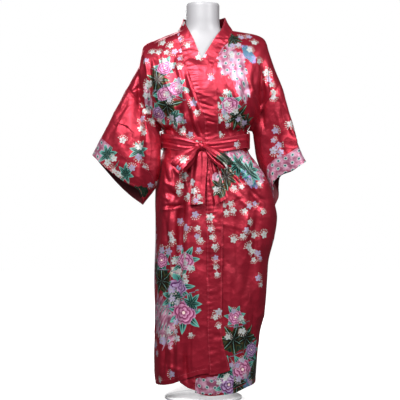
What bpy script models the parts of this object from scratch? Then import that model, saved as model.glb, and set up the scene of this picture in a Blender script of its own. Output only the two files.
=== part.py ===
"""A satin kimono robe, wrapped and tied with a sash, on a limbless dress form with a round stand.

Sizes are in millimetres and become metres when a mesh is made. X runs to the viewer's right, the
front of the robe faces -Y and Z is up. The origin is on the floor, under the middle of the stand.
"""

import math

import bpy
import numpy as np

METRES = 0.001

# Walls, gaps and layers
CLOTH = 1.6
FOLDED_CLOTH = 2.4
SEAM_GAP = 0.6
NECK_GAP = 1.3
RING_GAP = 0.55
LOOP_GAP = 1.3
TAIL_GAP = 0.5
TOP_LAYER = 5.2
FORM_CLEARANCE = 1.5
FORM_RISE = 5.0

# The belt: its middle height at the sides, how far it sags in front, and half its width
BELT_SIDE_Z = 872.0
BELT_SAG = 21.0
BELT_HALF = 24.0
BELT_KNOT_HALF = 12.0
BELT_OFFSET = 8.4
WAIST_TOP = 36.0

# The knot: its middle and half sizes
KNOT = np.array([-9.0, -126.3, 847.0])
KNOT_HALF = np.array([23.0, 12.6, 14.5])
KNOT_POWER = 2.6

# The stand
BASE_RADIUS = 130.0
BASE_THICKNESS = 8.0
POLE_RADIUS = 12.5
FORM_BOTTOM = 590.0

SECTION_POWER = 2.2
SLEEVE_POWER = 0.62
CHEST_HALF = 190.0

# How finely each wall is divided; the rows of a bodice and a sleeve's ring share their places
BODICE_ROWS = 17
SKIRT_ROWS = 16
FRONT_COLUMNS = 16
BACK_COLUMNS = 29
SLEEVE_ROWS = 8
ROW_SHARES = np.linspace(0, 1, BODICE_ROWS) ** 1.1
SKIRT_SHARES = np.linspace(0, 1, SKIRT_ROWS) ** 1.5
SHOULDER_SPAN = 10 / 28
NECK_SHARE = 0.42

# A height just above the hems, at which a panel's hem is laid out
HEM_GUIDE_Z = 60.0

# The upper rows of a front and of a band draw back from their shared seam by these shares of a cell
SEAM_ROWS = {"front": 7, "band": 12}
SEAM_EASE = {"front": 0.06, "band": 0.09}
BAND_COLUMNS = 4
BAND_ROWS = 24
CUFF_RINGS = 4

# The share of a sleeve's length left open where both panels and the sleeve meet
UNDERARM_NOTCH = 0.014


def table(names, rows):
    """Named columns, each as an array."""
    return dict(zip(names.split(), np.array(rows, float).T))


# Closed sections of the robe from above the belt to the hem, as half widths and half depths
BODY = table("z left right front back", [
    (20, 158, 172, 118, 114),
    (100, 167, 179, 120, 116),
    (150, 168, 183, 121, 117),
    (216, 166, 190, 122, 118),
    (295, 165, 208, 123, 118),
    (400, 167, 216, 124, 119),
    (454, 166, 219, 124, 119),
    (546, 163, 240, 124, 118),
    (614, 163, 250, 123, 117),
    (655, 164, 243, 122, 115),
    (716, 163, 228, 119, 112),
    (760, 158, 206, 116, 108),
    (800, 150, 178, 111, 102),
    (842, 137, 151, 104, 96),
    (902, 136, 148, 104, 96),
    (960, 150, 160, 121, 98),
])

# Depths of the robe down the middle of the chest and the back
CHEST = table("z front back", [
    (880, 105, 96),
    (915, 117, 103),
    (960, 122, 102),
    (1030, 125, 102),
    (1100, 113, 101),
    (1150, 98, 95),
    (1190, 78, 86),
    (1247, 50, 60),
])

# The dress form: half width, and depths in front and behind
FORM = table("z half front back", [
    (590, 146, 96, 92),
    (640, 150, 102, 98),
    (720, 147, 102, 95),
    (800, 134, 95, 87),
    (880, 119, 91, 79),
    (960, 133, 102, 82),
    (1030, 154, 114, 88),
    (1100, 171, 100, 90),
    (1150, 178, 82, 85),
    (1185, 173, 69, 78),
    (1200, 160, 64, 74),
    (1215, 132, 60, 69),
    (1230, 95, 57, 62),
    (1245, 69, 56, 58),
    (1262, 59, 56, 57),
    (1290, 57, 57, 57),
    (1337, 57, 57, 57),
])
NECK_X = -3.0

# The shoulder line, from the neck over the shoulder's tip to the sleeve seam
SHOULDER = {
    "left": table("x y z", [
        (-88, 2, 1244),
        (-124, 2, 1231),
        (-168, 2, 1213),
        (-193, 1, 1203),
        (-205, 0, 1191),
        (-212, 0, 1157),
        (-216, 0, 1135),
        (-231, 0, 1103),
        (-248, 0, 1072),
        (-259, 0, 1052),
    ]),
    "right": table("x y z", [
        (99, 2, 1247),
        (135, 2, 1241),
        (170, 2, 1235),
        (200, 1, 1223),
        (211, 0, 1210),
        (222, 0, 1175),
        (243, 0, 1113),
        (261, 0, 1069),
    ]),
}

# The sleeves: the folded top edge and the seam below, from the sleeve seam to the wrist
SLEEVE_TOP = {
    "left": table("x y z", [(-259, 0, 1052), (-299, 0, 976), (-339, 0, 900), (-378, 0, 825)]),
    "right": table("x y z", [
        (261, 0, 1069), (280, 0, 1008), (300, 2, 940), (327, 4, 843), (347, 5, 802),
    ]),
}
SLEEVE_BELOW = {
    "left": table("x y z", [
        (-152, -6, 905), (-155, -34, 872), (-152, -62, 800), (-157, -66, 732), (-205, -32, 656),
    ]),
    "right": table("x y z", [
        (165, 6, 905), (173, 22, 868), (180, 42, 826), (196, 60, 776), (224, 72, 712), (246, 64, 650),
    ]),
}
SLEEVE_DEPTH = {
    "left": table("s front back", [(0, 50, 46), (0.5, 55, 46), (1, 50, 44)]),
    "right": table("s front back", [(0, 54, 48), (0.5, 52, 50), (1, 48, 52)]),
}
# How far the front and back edges of each cuff lie along the sleeve from the line between its corners
CUFF_TILT = {
    "left": table("w front back", [
        (0, 0, 0), (0.3, -4, 7), (0.6, -14, 11), (0.8, -26, 8), (0.93, -14, 3), (1, 0, 0),
    ]),
    "right": table("w front back", [
        (0, 0, 0), (0.25, -20, -16), (0.47, -46, -40), (0.63, -52, -26), (0.82, -32, -4), (1, 0, 0),
    ]),
}
CUFF_START = {"left": 0.745, "right": 0.80}

# Edges of the front bands: around the neck as points, then down the front as widths at heights
NECK_SEAM = {
    "left": table("x y z", [
        (5, 66, 1234), (-42, 60, 1237), (-76, 34, 1242), (-88, 2, 1244),
        (-87, -30, 1222), (-77, -70, 1184), (-62, -97, 1136),
    ]),
    "right": table("x y z", [
        (5, 66, 1234), (50, 62, 1238), (86, 36, 1244), (99, 2, 1247),
        (90, -34, 1222), (63, -76, 1180), (38, -98, 1136),
    ]),
}
NECK_EDGE = {
    "left": table("x y z", [
        (4, 73, 1292), (-36, 66, 1292), (-64, 34, 1291), (-68, 4, 1288),
        (-60, -34, 1264), (-42, -64, 1228), (-8, -98, 1144),
    ]),
    "right": table("x y z", [
        (4, 73, 1292), (42, 68, 1294), (68, 38, 1296), (74, 4, 1293),
        (64, -38, 1256), (38, -72, 1214), (-4, -92, 1144),
    ]),
}
BAND_SEAM = {
    "left": table("z x", [
        (60, 22), (94, 18), (230, 12), (600, 8), (870, 5), (939, 2), (1009, -21), (1088, -47), (1136, -62),
    ]),
    "right": table("z x", [
        (20, -30), (230, -16), (600, -2), (870, 5), (960, 8), (1040, 15), (1100, 27), (1136, 38),
    ]),
}
BAND_EDGE = {
    "left": table("z x", [
        (60, 90), (110, 86), (227, 60), (420, 62), (596, 64), (850, 52),
        (910, 50), (970, 47), (1039, 43), (1075, 36), (1116, 22), (1144, -8),
    ]),
    "right": table("z x", [
        (20, -82), (230, -68), (600, -55), (870, -47), (930, -44), (1020, -34), (1100, -18), (1144, -4),
    ]),
}

# Heights of the hems against x
HEM = {
    "left": table("x z", [(-170, 49), (-110, 62), (-71, 79), (0, 100), (18, 96), (50, 99), (90, 110)]),
    "right": table("x z", [
        (-85, 74), (-45, 50), (14, 34), (51, 25), (91, 28), (115, 31), (146, 45), (180, 56),
    ]),
    "back": table("x z", [(-170, 49), (-60, 40), (60, 40), (180, 56)]),
}

# Folds as lines in the front view: upper end, lower end, height of the fold (out is plus) and half width
FRONT_FOLDS = table("x0 z0 x1 z1 out width", [
    (-216, 1120, -213, 730, -16, 17),
    (-190, 1060, -192, 760, 7, 12),
    (-172, 1070, -174, 890, -7, 11),
    (-88, 985, -66, 880, -5, 11),
    (-112, 1000, -92, 880, 5, 11),
    (150, 1040, 178, 925, 10, 10),
    (184, 1160, 206, 900, -24, 17),
    (108, 1070, 140, 900, 6, 12),
    (88, 1010, 108, 885, -5, 10),
    (272, 1020, 292, 830, -6, 13),
    (-300, 960, -270, 800, 5, 16),
    (-78, 680, -94, 330, -9, 14),
    (-52, 700, -66, 330, 4, 14),
    (-118, 835, -128, 470, 6, 13),
    (-96, 830, -104, 600, -5, 11),
    (56, 838, 134, 723, -6, 11),
    (84, 836, 176, 716, 6, 12),
    (107, 838, 200, 700, -7, 12),
    (150, 600, 152, 120, -7, 16),
    (112, 560, 116, 60, 5, 16),
    (188, 560, 180, 300, 5, 16),
    (-132, 320, -128, 40, 6, 16),
    (-44, 420, -36, 80, -4, 14),
    (40, 330, 60, 60, -3, 15),
])
BACK_FOLDS = table("x0 z0 x1 z1 out width", [
    (-214, 1130, -208, 740, -16, 15),
    (-190, 1110, -186, 800, 8, 12),
    (212, 1140, 206, 820, -18, 16),
    (186, 1080, 176, 900, 9, 12),
    (-84, 1020, -66, 885, -6, 10),
    (-44, 1040, -36, 885, 6, 11),
    (10, 1010, 6, 885, -6, 11),
    (58, 1030, 46, 885, 6, 11),
    (100, 1010, 84, 885, -6, 10),
    (-60, 840, -78, 420, 7, 15),
    (-24, 836, -30, 300, -6, 15),
    (22, 836, 24, 360, 6, 15),
    (66, 836, 84, 320, -7, 15),
    (112, 830, 150, 420, 7, 16),
    (-108, 834, -126, 380, -6, 14),
    (-96, 360, -100, 40, 6, 17),
    (-30, 340, -34, 40, -5, 17),
    (40, 380, 44, 40, 6, 17),
    (120, 400, 124, 40, -6, 17),
])


def ease(value, low, high):
    """0 below low, 1 above high and a smooth step between; low may be the larger one."""
    share = np.clip((np.asarray(value, float) - low) / (high - low), 0, 1)
    return share * share * (3 - 2 * share)


def through(at, places, values):
    """A smooth curve through the values, without overshoot."""
    step = np.diff(places)
    slope = np.diff(values) / step
    bend = np.zeros(len(places))
    bend[0], bend[-1] = slope[0], slope[-1]
    same = slope[:-1] * slope[1:] > 0
    before, after = 2 * step[1:] + step[:-1], step[1:] + 2 * step[:-1]
    with np.errstate(divide="ignore", invalid="ignore"):
        mean = (before + after) / (before / slope[:-1] + after / slope[1:])
    bend[1:-1] = np.where(same, mean, 0)
    at = np.clip(at, places[0], places[-1])
    i = np.clip(np.searchsorted(places, at, side="right") - 1, 0, len(step) - 1)
    t = (at - places[i]) / step[i]
    start, end = values[i], values[i + 1]
    return (
        start * (1 + 2 * t) * (1 - t) ** 2
        + end * t * t * (3 - 2 * t)
        + step[i] * t * (1 - t) * (bend[i] * (1 - t) - bend[i + 1] * t)
    )


def read(rows, key, column, at):
    return through(at, rows[key], rows[column])


def along(curve, share):
    """Points at shares of the length of a curve given as x, y and z."""
    points = np.stack([curve["x"], curve["y"], curve["z"]], axis=1)
    length = np.concatenate([[0], np.cumsum(np.linalg.norm(np.diff(points, axis=0), axis=1))])
    at = np.asarray(share, float) * length[-1]
    return np.stack([through(at, length, points[:, i]) for i in range(3)], axis=-1)


def power(value, exponent):
    return np.sign(value) * np.abs(value) ** exponent


def fold_height(x, z, folds):
    """The height of all the folds at places in the front view."""
    height = np.zeros(np.broadcast(x, z).shape)
    for x0, z0, x1, z1, out, width in zip(*(folds[name] for name in "x0 z0 x1 z1 out width".split())):
        run = np.array([x1 - x0, z1 - z0])
        length = np.hypot(*run)
        share = ((x - x0) * run[0] + (z - z0) * run[1]) / length**2
        aside = ((x - x0) * run[1] - (z - z0) * run[0]) / length
        ends = ease(share, -0.05, 0.22) * ease(share, 1.05, 0.78)
        height = height + out * ends * np.exp(-((aside / width) ** 2))
    return height


def belt_z(theta):
    """The height of the belt's middle around the body; theta is 0 in front and grows to the right."""
    return BELT_SIDE_Z - BELT_SAG * np.clip(np.cos(theta), 0, 1) ** 3


def section(theta, z):
    """Half width and half depth of the robe's section."""
    level = z + (BELT_SIDE_Z - belt_z(theta)) * ease(z, 700, 820)
    half = np.where(np.sin(theta) < 0, read(BODY, "z", "left", level), read(BODY, "z", "right", level))
    deep = np.where(np.cos(theta) > 0, read(BODY, "z", "front", level), read(BODY, "z", "back", level))
    return half, deep


def tube(theta, z, layer=0.0):
    """A point of the robe below the waist, moved out by a layer's height and by its folds."""
    theta, z, layer = np.broadcast_arrays(np.asarray(theta, float), z, layer)
    half, deep = section(theta, z)
    x = half * power(np.sin(theta), 2 / SECTION_POWER)
    y = -deep * power(np.cos(theta), 2 / SECTION_POWER)
    nx = power(x / half, SECTION_POWER - 1) / half
    ny = power(y / deep, SECTION_POWER - 1) / deep
    size = np.hypot(nx, ny)
    folds = np.where(np.cos(theta) > 0, fold_height(x, z, FRONT_FOLDS), fold_height(x, z, BACK_FOLDS))
    folds = folds * ease(np.abs(np.cos(theta)), 0.02, 0.35) * ease(np.abs(z - belt_z(theta)), WAIST_TOP, 75)
    out = layer + folds
    return np.stack([x + nx / size * out, y + ny / size * out, z], axis=-1)


def theta_at(x, z):
    """The angle in front at which the section passes x."""
    theta = np.zeros(np.broadcast(x, z).shape)
    for _ in range(3):
        half, _ = section(np.where(x < 0, -0.01, 0.01) + theta, z)
        theta = np.sign(x) * np.arcsin(np.clip(np.abs(x) / half, 0, 1) ** (SECTION_POWER / 2))
    return theta


def waist_top(theta):
    return belt_z(theta) + WAIST_TOP


def form_depth(x, z, column):
    """How far the dress form reaches forwards or backwards at x and z."""
    half = read(FORM, "z", "half", z - FORM_RISE) + FORM_CLEARANCE
    inside = np.clip(1 - np.abs((x - NECK_X) / half) ** SECTION_POWER, 0, 1)
    deep = read(FORM, "z", column, z - FORM_RISE) + FORM_CLEARANCE
    return deep * inside ** (1 / SECTION_POWER)


def over_form(points, column):
    """Moves cloth that would lie inside the dress form out onto it."""
    sign = -1 if column == "front" else 1
    cloth = points[..., 1] * sign
    form = form_depth(points[..., 0], points[..., 2], column)
    form = np.where(form > 1, form, -99)
    near = np.clip(8 - np.abs(cloth - form), 0, None)
    out = points.copy()
    out[..., 1] = sign * (np.maximum(cloth, form) + near**2 / 32)
    return out


def middle(points, column):
    """Holds cloth near the middle of the chest or back to one depth, so that layers nest."""
    x, y, z = (points[..., i] for i in range(3))
    sign = -1 if column == "front" else 1
    width = np.clip(1 - np.abs(x / CHEST_HALF) ** SECTION_POWER, 0, 1) ** (1 / SECTION_POWER)
    chest = read(CHEST, "z", column, z) * width
    theta = theta_at(x, z)
    half, deep = section(theta if column == "front" else math.pi - theta, z)
    waist = deep * np.clip(1 - np.abs(x / half) ** SECTION_POWER, 0, 1) ** (1 / SECTION_POWER)
    depth = waist + (chest - waist) * ease(z, 903, 950)
    share = ease(np.abs(x), 112, 62) * (ease(z, 1165, 1105) if column == "front" else ease(z, 1225, 1170))
    out = points.copy()
    out[..., 1] = y + (sign * depth - y) * share
    return out


def sleeve_edges(side, s):
    """The folded top and the seam below; the seam below starts at the top of the side seam."""
    top = along(SLEEVE_TOP[side], s)
    turn = -math.pi / 2 if side == "left" else math.pi / 2
    underarm = tube(turn, waist_top(turn))
    rows = {key: np.concatenate([[underarm[i]], SLEEVE_BELOW[side][key]]) for i, key in enumerate("xyz")}
    return top, along(rows, s)


def sleeve(side, s, phi, folds=True):
    """A point of the sleeve: phi runs 0 to 1 down the front and 1 to 2 up the back."""
    s, phi = np.broadcast_arrays(np.asarray(s, float), np.asarray(phi, float))
    top, below = sleeve_edges(side, s)
    turn = np.cos(math.pi * phi)
    lens = ease(np.minimum(phi, 2 - phi), 0.45, 0.8) * (1 - 0.6 * s)
    w = (0.5 - 0.5 * power(turn, SLEEVE_POWER)) * (1 - lens) + np.minimum(phi, 2 - phi) * lens
    round_end = np.abs(np.sin(math.pi * phi))
    swell = round_end**SLEEVE_POWER * (1 - lens) + round_end**0.9 * lens
    front = phi <= 1
    depths = SLEEVE_DEPTH[side]
    depth = np.where(front, -read(depths, "s", "front", s), read(depths, "s", "back", s))
    points = top + (below - top) * w[..., None]
    run = (below - top)[..., [2, 0]] * np.array([1, -1]) * (1 if side == "left" else -1)
    run = run / np.linalg.norm(run, axis=-1, keepdims=True)
    tilt = np.where(front, read(CUFF_TILT[side], "w", "front", w), read(CUFF_TILT[side], "w", "back", w))
    tilt = tilt * ease(s, 0.05, 0.72)
    points[..., 0] += run[..., 0] * tilt
    points[..., 2] += run[..., 1] * tilt
    points[..., 1] += depth * swell
    if folds:
        x, z = points[..., 0], points[..., 2]
        height = np.where(front, -fold_height(x, z, FRONT_FOLDS), fold_height(x, z, BACK_FOLDS))
        points[..., 1] += height * np.abs(np.sin(math.pi * phi)) * ease(s, 1.3, 0.7)
    return points


def coons(inner, outer, top, bottom, u, t):
    """A patch between four curves: inner and outer over t, top and bottom over u."""
    u, t = u[None, :, None], t[:, None, None]
    sides = inner[:, None] * (1 - u) + outer[:, None] * u
    ends = top[None] * (1 - t) + bottom[None] * t
    corners = (top[0] * (1 - u) + top[-1] * u) * (1 - t) + (bottom[0] * (1 - u) + bottom[-1] * u) * t
    return sides + ends - corners


def fold_over(points, phi_share, column):
    """Adds the folds of a bodice patch, which fade at the shoulder line."""
    out = points.copy()
    x, z = points[..., 0], points[..., 2]
    if column == "front":
        out[..., 1] -= fold_height(x, z, FRONT_FOLDS) * phi_share
    else:
        out[..., 1] += fold_height(x, z, BACK_FOLDS) * phi_share
    return out


def front_curve(rows, z, neck):
    """An edge of a front band: x from the heights below the neck, depth from the chest."""
    x = read(rows, "z", "x", z)
    low = middle(np.stack([x, np.zeros_like(x), z], axis=-1), "front")
    high = np.stack([x, read_down(neck, "y", z), z], axis=-1)
    share = ease(z, 1136, 1100)[:, None]
    return high + (low - high) * share


def read_down(curve, column, z):
    """A column of a neck curve's front part against height."""
    front = curve["y"] <= 3
    return through(z, curve["z"][front][::-1], curve[column][front][::-1])


def edge_points(side, kind, share):
    """Points of a band's seam or free edge from the middle of the neck's back to the waist's top."""
    neck = (NECK_SEAM if kind == "seam" else NECK_EDGE)[side]
    rows = (BAND_SEAM if kind == "seam" else BAND_EDGE)[side]
    upper = NECK_SHARE
    points = np.zeros((len(share), 3))
    is_neck = share <= upper
    points[is_neck] = along(neck, share[is_neck] / upper)
    start = neck["z"][-1]
    end = edge_waist(rows)
    z = start + (end - start) * (share[~is_neck] - upper) / (1 - upper)
    points[~is_neck] = front_curve(rows, z, neck)
    return points


def edge_waist(rows):
    """The height at which a band's edge reaches the top of the waist."""
    z = waist_top(0.0)
    for _ in range(4):
        z = waist_top(theta_at(read(rows, "z", "x", z), z))
    return float(z)


def edge_angle(rows, z):
    return theta_at(read(rows, "z", "x", z), z)


def shoulder_share(side):
    """The share of a band's length at which its seam meets the shoulder line."""
    neck = NECK_SEAM[side]
    points = np.stack([neck["x"], neck["y"], neck["z"]], axis=1)
    length = np.concatenate([[0], np.cumsum(np.linalg.norm(np.diff(points, axis=0), axis=1))])
    return NECK_SHARE * length[3] / length[-1]


def front_layer(side, theta):
    """The front that lies on top is moved out where it crosses the other."""
    return TOP_LAYER * ease(theta, -1.35, -0.8) if side == "left" else np.zeros_like(theta)


def front_panel(side, columns):
    """Points of one front, from the shoulder to the hem."""
    sign = -1 if side == "left" else 1
    u, t = np.linspace(0, 1, columns), ROW_SHARES
    start = shoulder_share(side)
    inner = edge_points(side, "seam", start + (1 - start) * t)
    outer = sleeve(side, 0.0, t, folds=False)
    top = along(SHOULDER[side], u)
    z = edge_waist(BAND_SEAM[side])
    seam_theta = edge_angle(BAND_SEAM[side], z)
    theta = seam_theta + (sign * math.pi / 2 - seam_theta) * u
    bottom = tube(theta, waist_top(theta))
    inner[-1] = bottom[0]
    patch = coons(inner, outer, top, bottom, u, t)
    patch = middle(patch, "front")
    layer = front_layer(side, 0.0) * ease(patch[..., 0], -112, -66) * ease(patch[..., 2], 1165, 1105)
    fade = (1 - u)[None] * ease(t, 0, 0.12)[:, None] + u[None] * np.abs(np.sin(math.pi * t))[:, None]
    theta_here = theta_at(np.clip(patch[..., 0], -120, 120), patch[..., 2])
    fade = fade * ease(patch[..., 2] - belt_z(theta_here), WAIST_TOP, 60)
    patch = fold_over(patch, fade, "front")
    blouse = 9 * np.exp(-(((patch[..., 2] - belt_z(theta_here) - 48) / 16) ** 2))
    blouse = blouse * ease(t, 0.99, 0.94)[:, None]
    patch[..., 1] -= blouse * ease(np.abs(patch[..., 0]), 58, 92) * ease(u, 1, 0.8)[None]
    patch = over_form(patch, "front")
    patch[..., 1] -= layer
    rows = SKIRT_SHARES[1:, None] * np.ones(columns)
    hem = HEM[side]
    lowest = tube(theta, np.full(columns, HEM_GUIDE_Z))[:, 0]
    hem_z = read(hem, "x", "z", lowest)
    top_z = waist_top(theta)
    z = top_z + (hem_z - top_z) * rows
    inner_theta = edge_angle(BAND_SEAM[side], z)
    angle = inner_theta + (sign * math.pi / 2 - inner_theta) * u[None]
    skirt = tube(angle, z, front_layer(side, angle))
    patch[-1] = tube(theta, top_z, front_layer(side, theta))
    return np.concatenate([patch, skirt])


def back_panel(columns):
    """Points of the back, from the neck and shoulders to the hem, left to right as seen in front."""
    u, t = np.linspace(0, 1, columns), ROW_SHARES
    left = sleeve("left", 0.0, 2 - t, folds=False)
    right = sleeve("right", 0.0, 2 - t, folds=False)
    third = SHOULDER_SPAN
    shoulder_left = along(SHOULDER["left"], 1 - np.clip(u / third, 0, 1))
    shoulder_right = along(SHOULDER["right"], np.clip((u - 1 + third) / third, 0, 1))
    inside = np.clip((u - third) / (1 - 2 * third), 0, 1)
    neck_share = shoulder_share("left") / NECK_SHARE
    neck_left = along(NECK_SEAM["left"], neck_share * np.clip(1 - 2 * inside, 0, 1))
    neck_share = shoulder_share("right") / NECK_SHARE
    neck_right = along(NECK_SEAM["right"], neck_share * np.clip(2 * inside - 1, 0, 1))
    top = np.where((u < third)[:, None], shoulder_left, np.where((u > 1 - third)[:, None], shoulder_right, 0))
    middle_part = (u >= third) & (u <= 1 - third)
    top[middle_part] = np.where((inside < 0.5)[:, None], neck_left, neck_right)[middle_part]
    theta = -math.pi / 2 - math.pi * u
    bottom = tube(theta, waist_top(theta))
    patch = coons(left, right, top, bottom, u, t)
    patch = middle(patch, "back")
    side = np.sin(math.pi * u) ** 0.5
    fade = side[None] * ease(t, 0, 0.12)[:, None] + (1 - side)[None] * np.abs(np.sin(math.pi * t))[:, None]
    fade = fade * ease(patch[..., 2] - BELT_SIDE_Z, WAIST_TOP, 60)
    patch = fold_over(patch, fade, "back")
    blouse = 8 * np.exp(-(((patch[..., 2] - BELT_SIDE_Z - 48) / 16) ** 2)) * ease(t, 0.99, 0.94)[:, None]
    patch[..., 1] += blouse * side[None]
    patch = over_form(patch, "back")
    patch[0] = top
    patch[-1] = bottom
    rows = SKIRT_SHARES[1:, None] * np.ones(columns)
    lowest = tube(theta, np.full(columns, HEM_GUIDE_Z))[:, 0]
    top_z = waist_top(theta)
    z = top_z + (read(HEM["back"], "x", "z", lowest) - top_z) * rows
    return np.concatenate([patch, tube(theta + 0 * z, z)])


def band(side, columns, upper_rows):
    """Points of one front band, from the middle of the neck's back to the hem."""
    share = np.linspace(0, 1, upper_rows)
    seam, edge = edge_points(side, "seam", share), edge_points(side, "edge", share)
    u = np.linspace(0, 1, columns)[None, :, None]
    upper = seam[:, None] * (1 - u) + edge[:, None] * u
    low = share > NECK_SHARE
    upper[low] = middle(upper[low], "front")
    reach = ease(share, NECK_SHARE * 0.9, NECK_SHARE * 1.2)[:, None] * np.ones(columns)
    theta = theta_at(upper[..., 0], upper[..., 2])
    upper = fold_over(upper, reach * ease(upper[..., 2] - belt_z(theta), WAIST_TOP, 60), "front")
    front = seam[:, 1] < 0
    upper[front] = over_form(upper[front], "front")
    layer = TOP_LAYER if side == "left" else 0.0
    height = upper[..., 2]
    upper[..., 1] -= layer * ease(height, 1165, 1105) * (share > NECK_SHARE * 0.8)[:, None]
    bottom = []
    for rows in (BAND_SEAM[side], BAND_EDGE[side]):
        bottom.append(edge_waist(rows))
    top_z = np.linspace(bottom[0], bottom[1], columns)
    seam_x = float(read(BAND_SEAM[side], "z", "x", 90.0))
    edge_x = float(read(BAND_EDGE[side], "z", "x", 90.0))
    hem_z = read(HEM[side], "x", "z", np.linspace(seam_x, edge_x, columns))
    rows = SKIRT_SHARES[:, None]
    z = top_z + (hem_z - top_z) * rows
    across = np.linspace(0, 1, columns)[None]
    start, end = edge_angle(BAND_SEAM[side], z), edge_angle(BAND_EDGE[side], z)
    angle = start + (end - start) * across
    skirt = tube(angle, z, layer)
    return np.concatenate([upper[:-1], skirt])


def grid_normals(points, closed=False):
    """Unit normals of a grid of points, by central differences."""
    if closed:
        across = np.roll(points, -1, axis=1) - np.roll(points, 1, axis=1)
    else:
        across = np.gradient(points, axis=1)
    down = np.gradient(points, axis=0)
    normals = np.cross(across, down)
    return normals / np.maximum(np.linalg.norm(normals, axis=-1, keepdims=True), 1e-9)


def pull_in(points, gap, closed=False):
    """Moves the border of a grid inwards by a gap along the grid's own lines."""
    out = points.copy()

    def toward(edge, inner):
        step = inner - edge
        return edge + step / np.maximum(np.linalg.norm(step, axis=-1, keepdims=True), 1e-9) * gap

    out[0], out[-1] = toward(points[0], points[1]), toward(points[-1], points[-2])
    if not closed:
        left, right = out[:, 0].copy(), out[:, -1].copy()
        out[:, 0], out[:, -1] = toward(left, out[:, 1]), toward(right, out[:, -2])
    return out


def make_material(name, colour, roughness, metallic=0.0):
    material = bpy.data.materials.new(name)
    material.use_nodes = True
    shader = material.node_tree.nodes["Principled BSDF"]
    shader.inputs["Base Color"].default_value = (*colour, 1)
    shader.inputs["Roughness"].default_value = roughness
    shader.inputs["Metallic"].default_value = metallic
    return material


def make_object(name, points, faces, material):
    mesh = bpy.data.meshes.new(name)
    mesh.from_pydata([tuple(p) for p in np.asarray(points) * METRES], [], faces)
    mesh.materials.append(material)
    mesh.validate()
    mesh.shade_smooth()
    obj = bpy.data.objects.new(name, mesh)
    bpy.context.scene.collection.objects.link(obj)
    return obj


def signed_volume(points, faces):
    total = 0.0
    for face in faces:
        for i in range(1, len(face) - 1):
            a, b, c = points[face[0]], points[face[i]], points[face[i + 1]]
            total += np.dot(a, np.cross(b, c))
    return total


def make_wall(name, points, thickness, material, normals=None, closed=False):
    """A closed wall on both sides of a grid of points."""
    if normals is None:
        normals = grid_normals(points, closed)
    rows, columns = points.shape[:2]
    outer = (points + normals * thickness / 2).reshape(-1, 3)
    inner = (points - normals * thickness / 2).reshape(-1, 3)
    count = rows * columns
    last = columns if closed else columns - 1
    faces = []
    for i in range(rows - 1):
        for j in range(last):
            k = (j + 1) % columns
            a, b, c, d = i * columns + j, i * columns + k, (i + 1) * columns + k, (i + 1) * columns + j
            faces += [(a, b, c), (a, c, d)]
            faces += [(c + count, b + count, a + count), (d + count, c + count, a + count)]
    for j in range(last):
        k = (j + 1) % columns
        faces.append((k, j, j + count, k + count))
        end = (rows - 1) * columns
        faces.append((end + j, end + k, end + k + count, end + j + count))
    if not closed:
        for i in range(rows - 1):
            a, b = i * columns, (i + 1) * columns
            faces.append((a, b, b + count, a + count))
            a, b = a + columns - 1, b + columns - 1
            faces.append((b, a, a + count, b + count))
    whole = np.concatenate([outer, inner])
    if signed_volume(whole, faces) < 0:
        faces = [tuple(reversed(face)) for face in faces]
    return make_object(name, whole, faces, material)


def make_rings(name, rings, material):
    """A solid through closed rings of equally many points, with flat ends."""
    count = len(rings[0])
    faces = [tuple(range(count)), tuple(reversed(range((len(rings) - 1) * count, len(rings) * count)))]
    for i in range(len(rings) - 1):
        for j in range(count):
            k = (j + 1) % count
            faces.append((i * count + j, (i + 1) * count + j, (i + 1) * count + k, i * count + k))
    points = np.concatenate(rings)
    if signed_volume(points, faces) < 0:
        faces = [tuple(reversed(face)) for face in faces]
    return make_object(name, points, faces, material)


def shoulder_normals(points, normals, rows):
    """The shoulder line's wall stands square to the line, so that front and back meet face to face."""
    edge = points[0, rows]
    run = np.gradient(edge, axis=0)
    up = np.stack([-run[:, 2], np.zeros(len(run)), run[:, 0]], axis=1)
    up = up / np.linalg.norm(up, axis=1, keepdims=True)
    up = up * np.sign(up[:, 2:3])
    same = np.sign(np.sum(normals[1, rows] * up, axis=1, keepdims=True))
    normals[0, rows] = up * np.where(same == 0, 1, same)


def armhole_normals(side, share, like):
    """The sleeve's own normals at its seam, turned to the same side as the panel's."""
    step = 0.004
    across = sleeve(side, 0.0, share + step) - sleeve(side, 0.0, share - step)
    down = sleeve(side, step, share) - sleeve(side, 0.0, share)
    normals = np.cross(across, down)
    normals /= np.maximum(np.linalg.norm(normals, axis=1, keepdims=True), 1e-9)
    return normals * np.where(np.sum(normals * like, axis=1, keepdims=True) < 0, -1, 1)


def seat_armhole(side, points, normals, column, phi):
    """A panel's armhole edge takes the sleeve's points and normals, so that the two meet face to face."""
    points[:BODICE_ROWS, column] = sleeve(side, 0.0, phi)
    last = BODICE_ROWS - 1
    normals[:last, column] = armhole_normals(side, phi[:last], normals[:last, column])


def part_shoulder(points, columns, sign):
    """Holds a panel's shoulder edge half a seam gap off the shoulder line."""
    points[0, columns, 1] += sign * SEAM_GAP / 2


def build_fronts(material):
    for side, name in (("left", "front_right"), ("right", "front_left")):
        points = front_panel(side, FRONT_COLUMNS)
        normals = grid_normals(points)
        seat_armhole(side, points, normals, -1, ROW_SHARES)
        shoulder_normals(points, normals, slice(1, None))
        shoulder = points[0].copy()
        points = pull_in(points, SEAM_GAP / 2)
        points[0] = shoulder
        part_shoulder(points, slice(None), -1)
        rows = slice(0, SEAM_ROWS["front"])
        points[rows, 0] += (points[rows, 1] - points[rows, 0]) * SEAM_EASE["front"]
        make_wall(name, points, CLOTH, material, normals)


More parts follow.
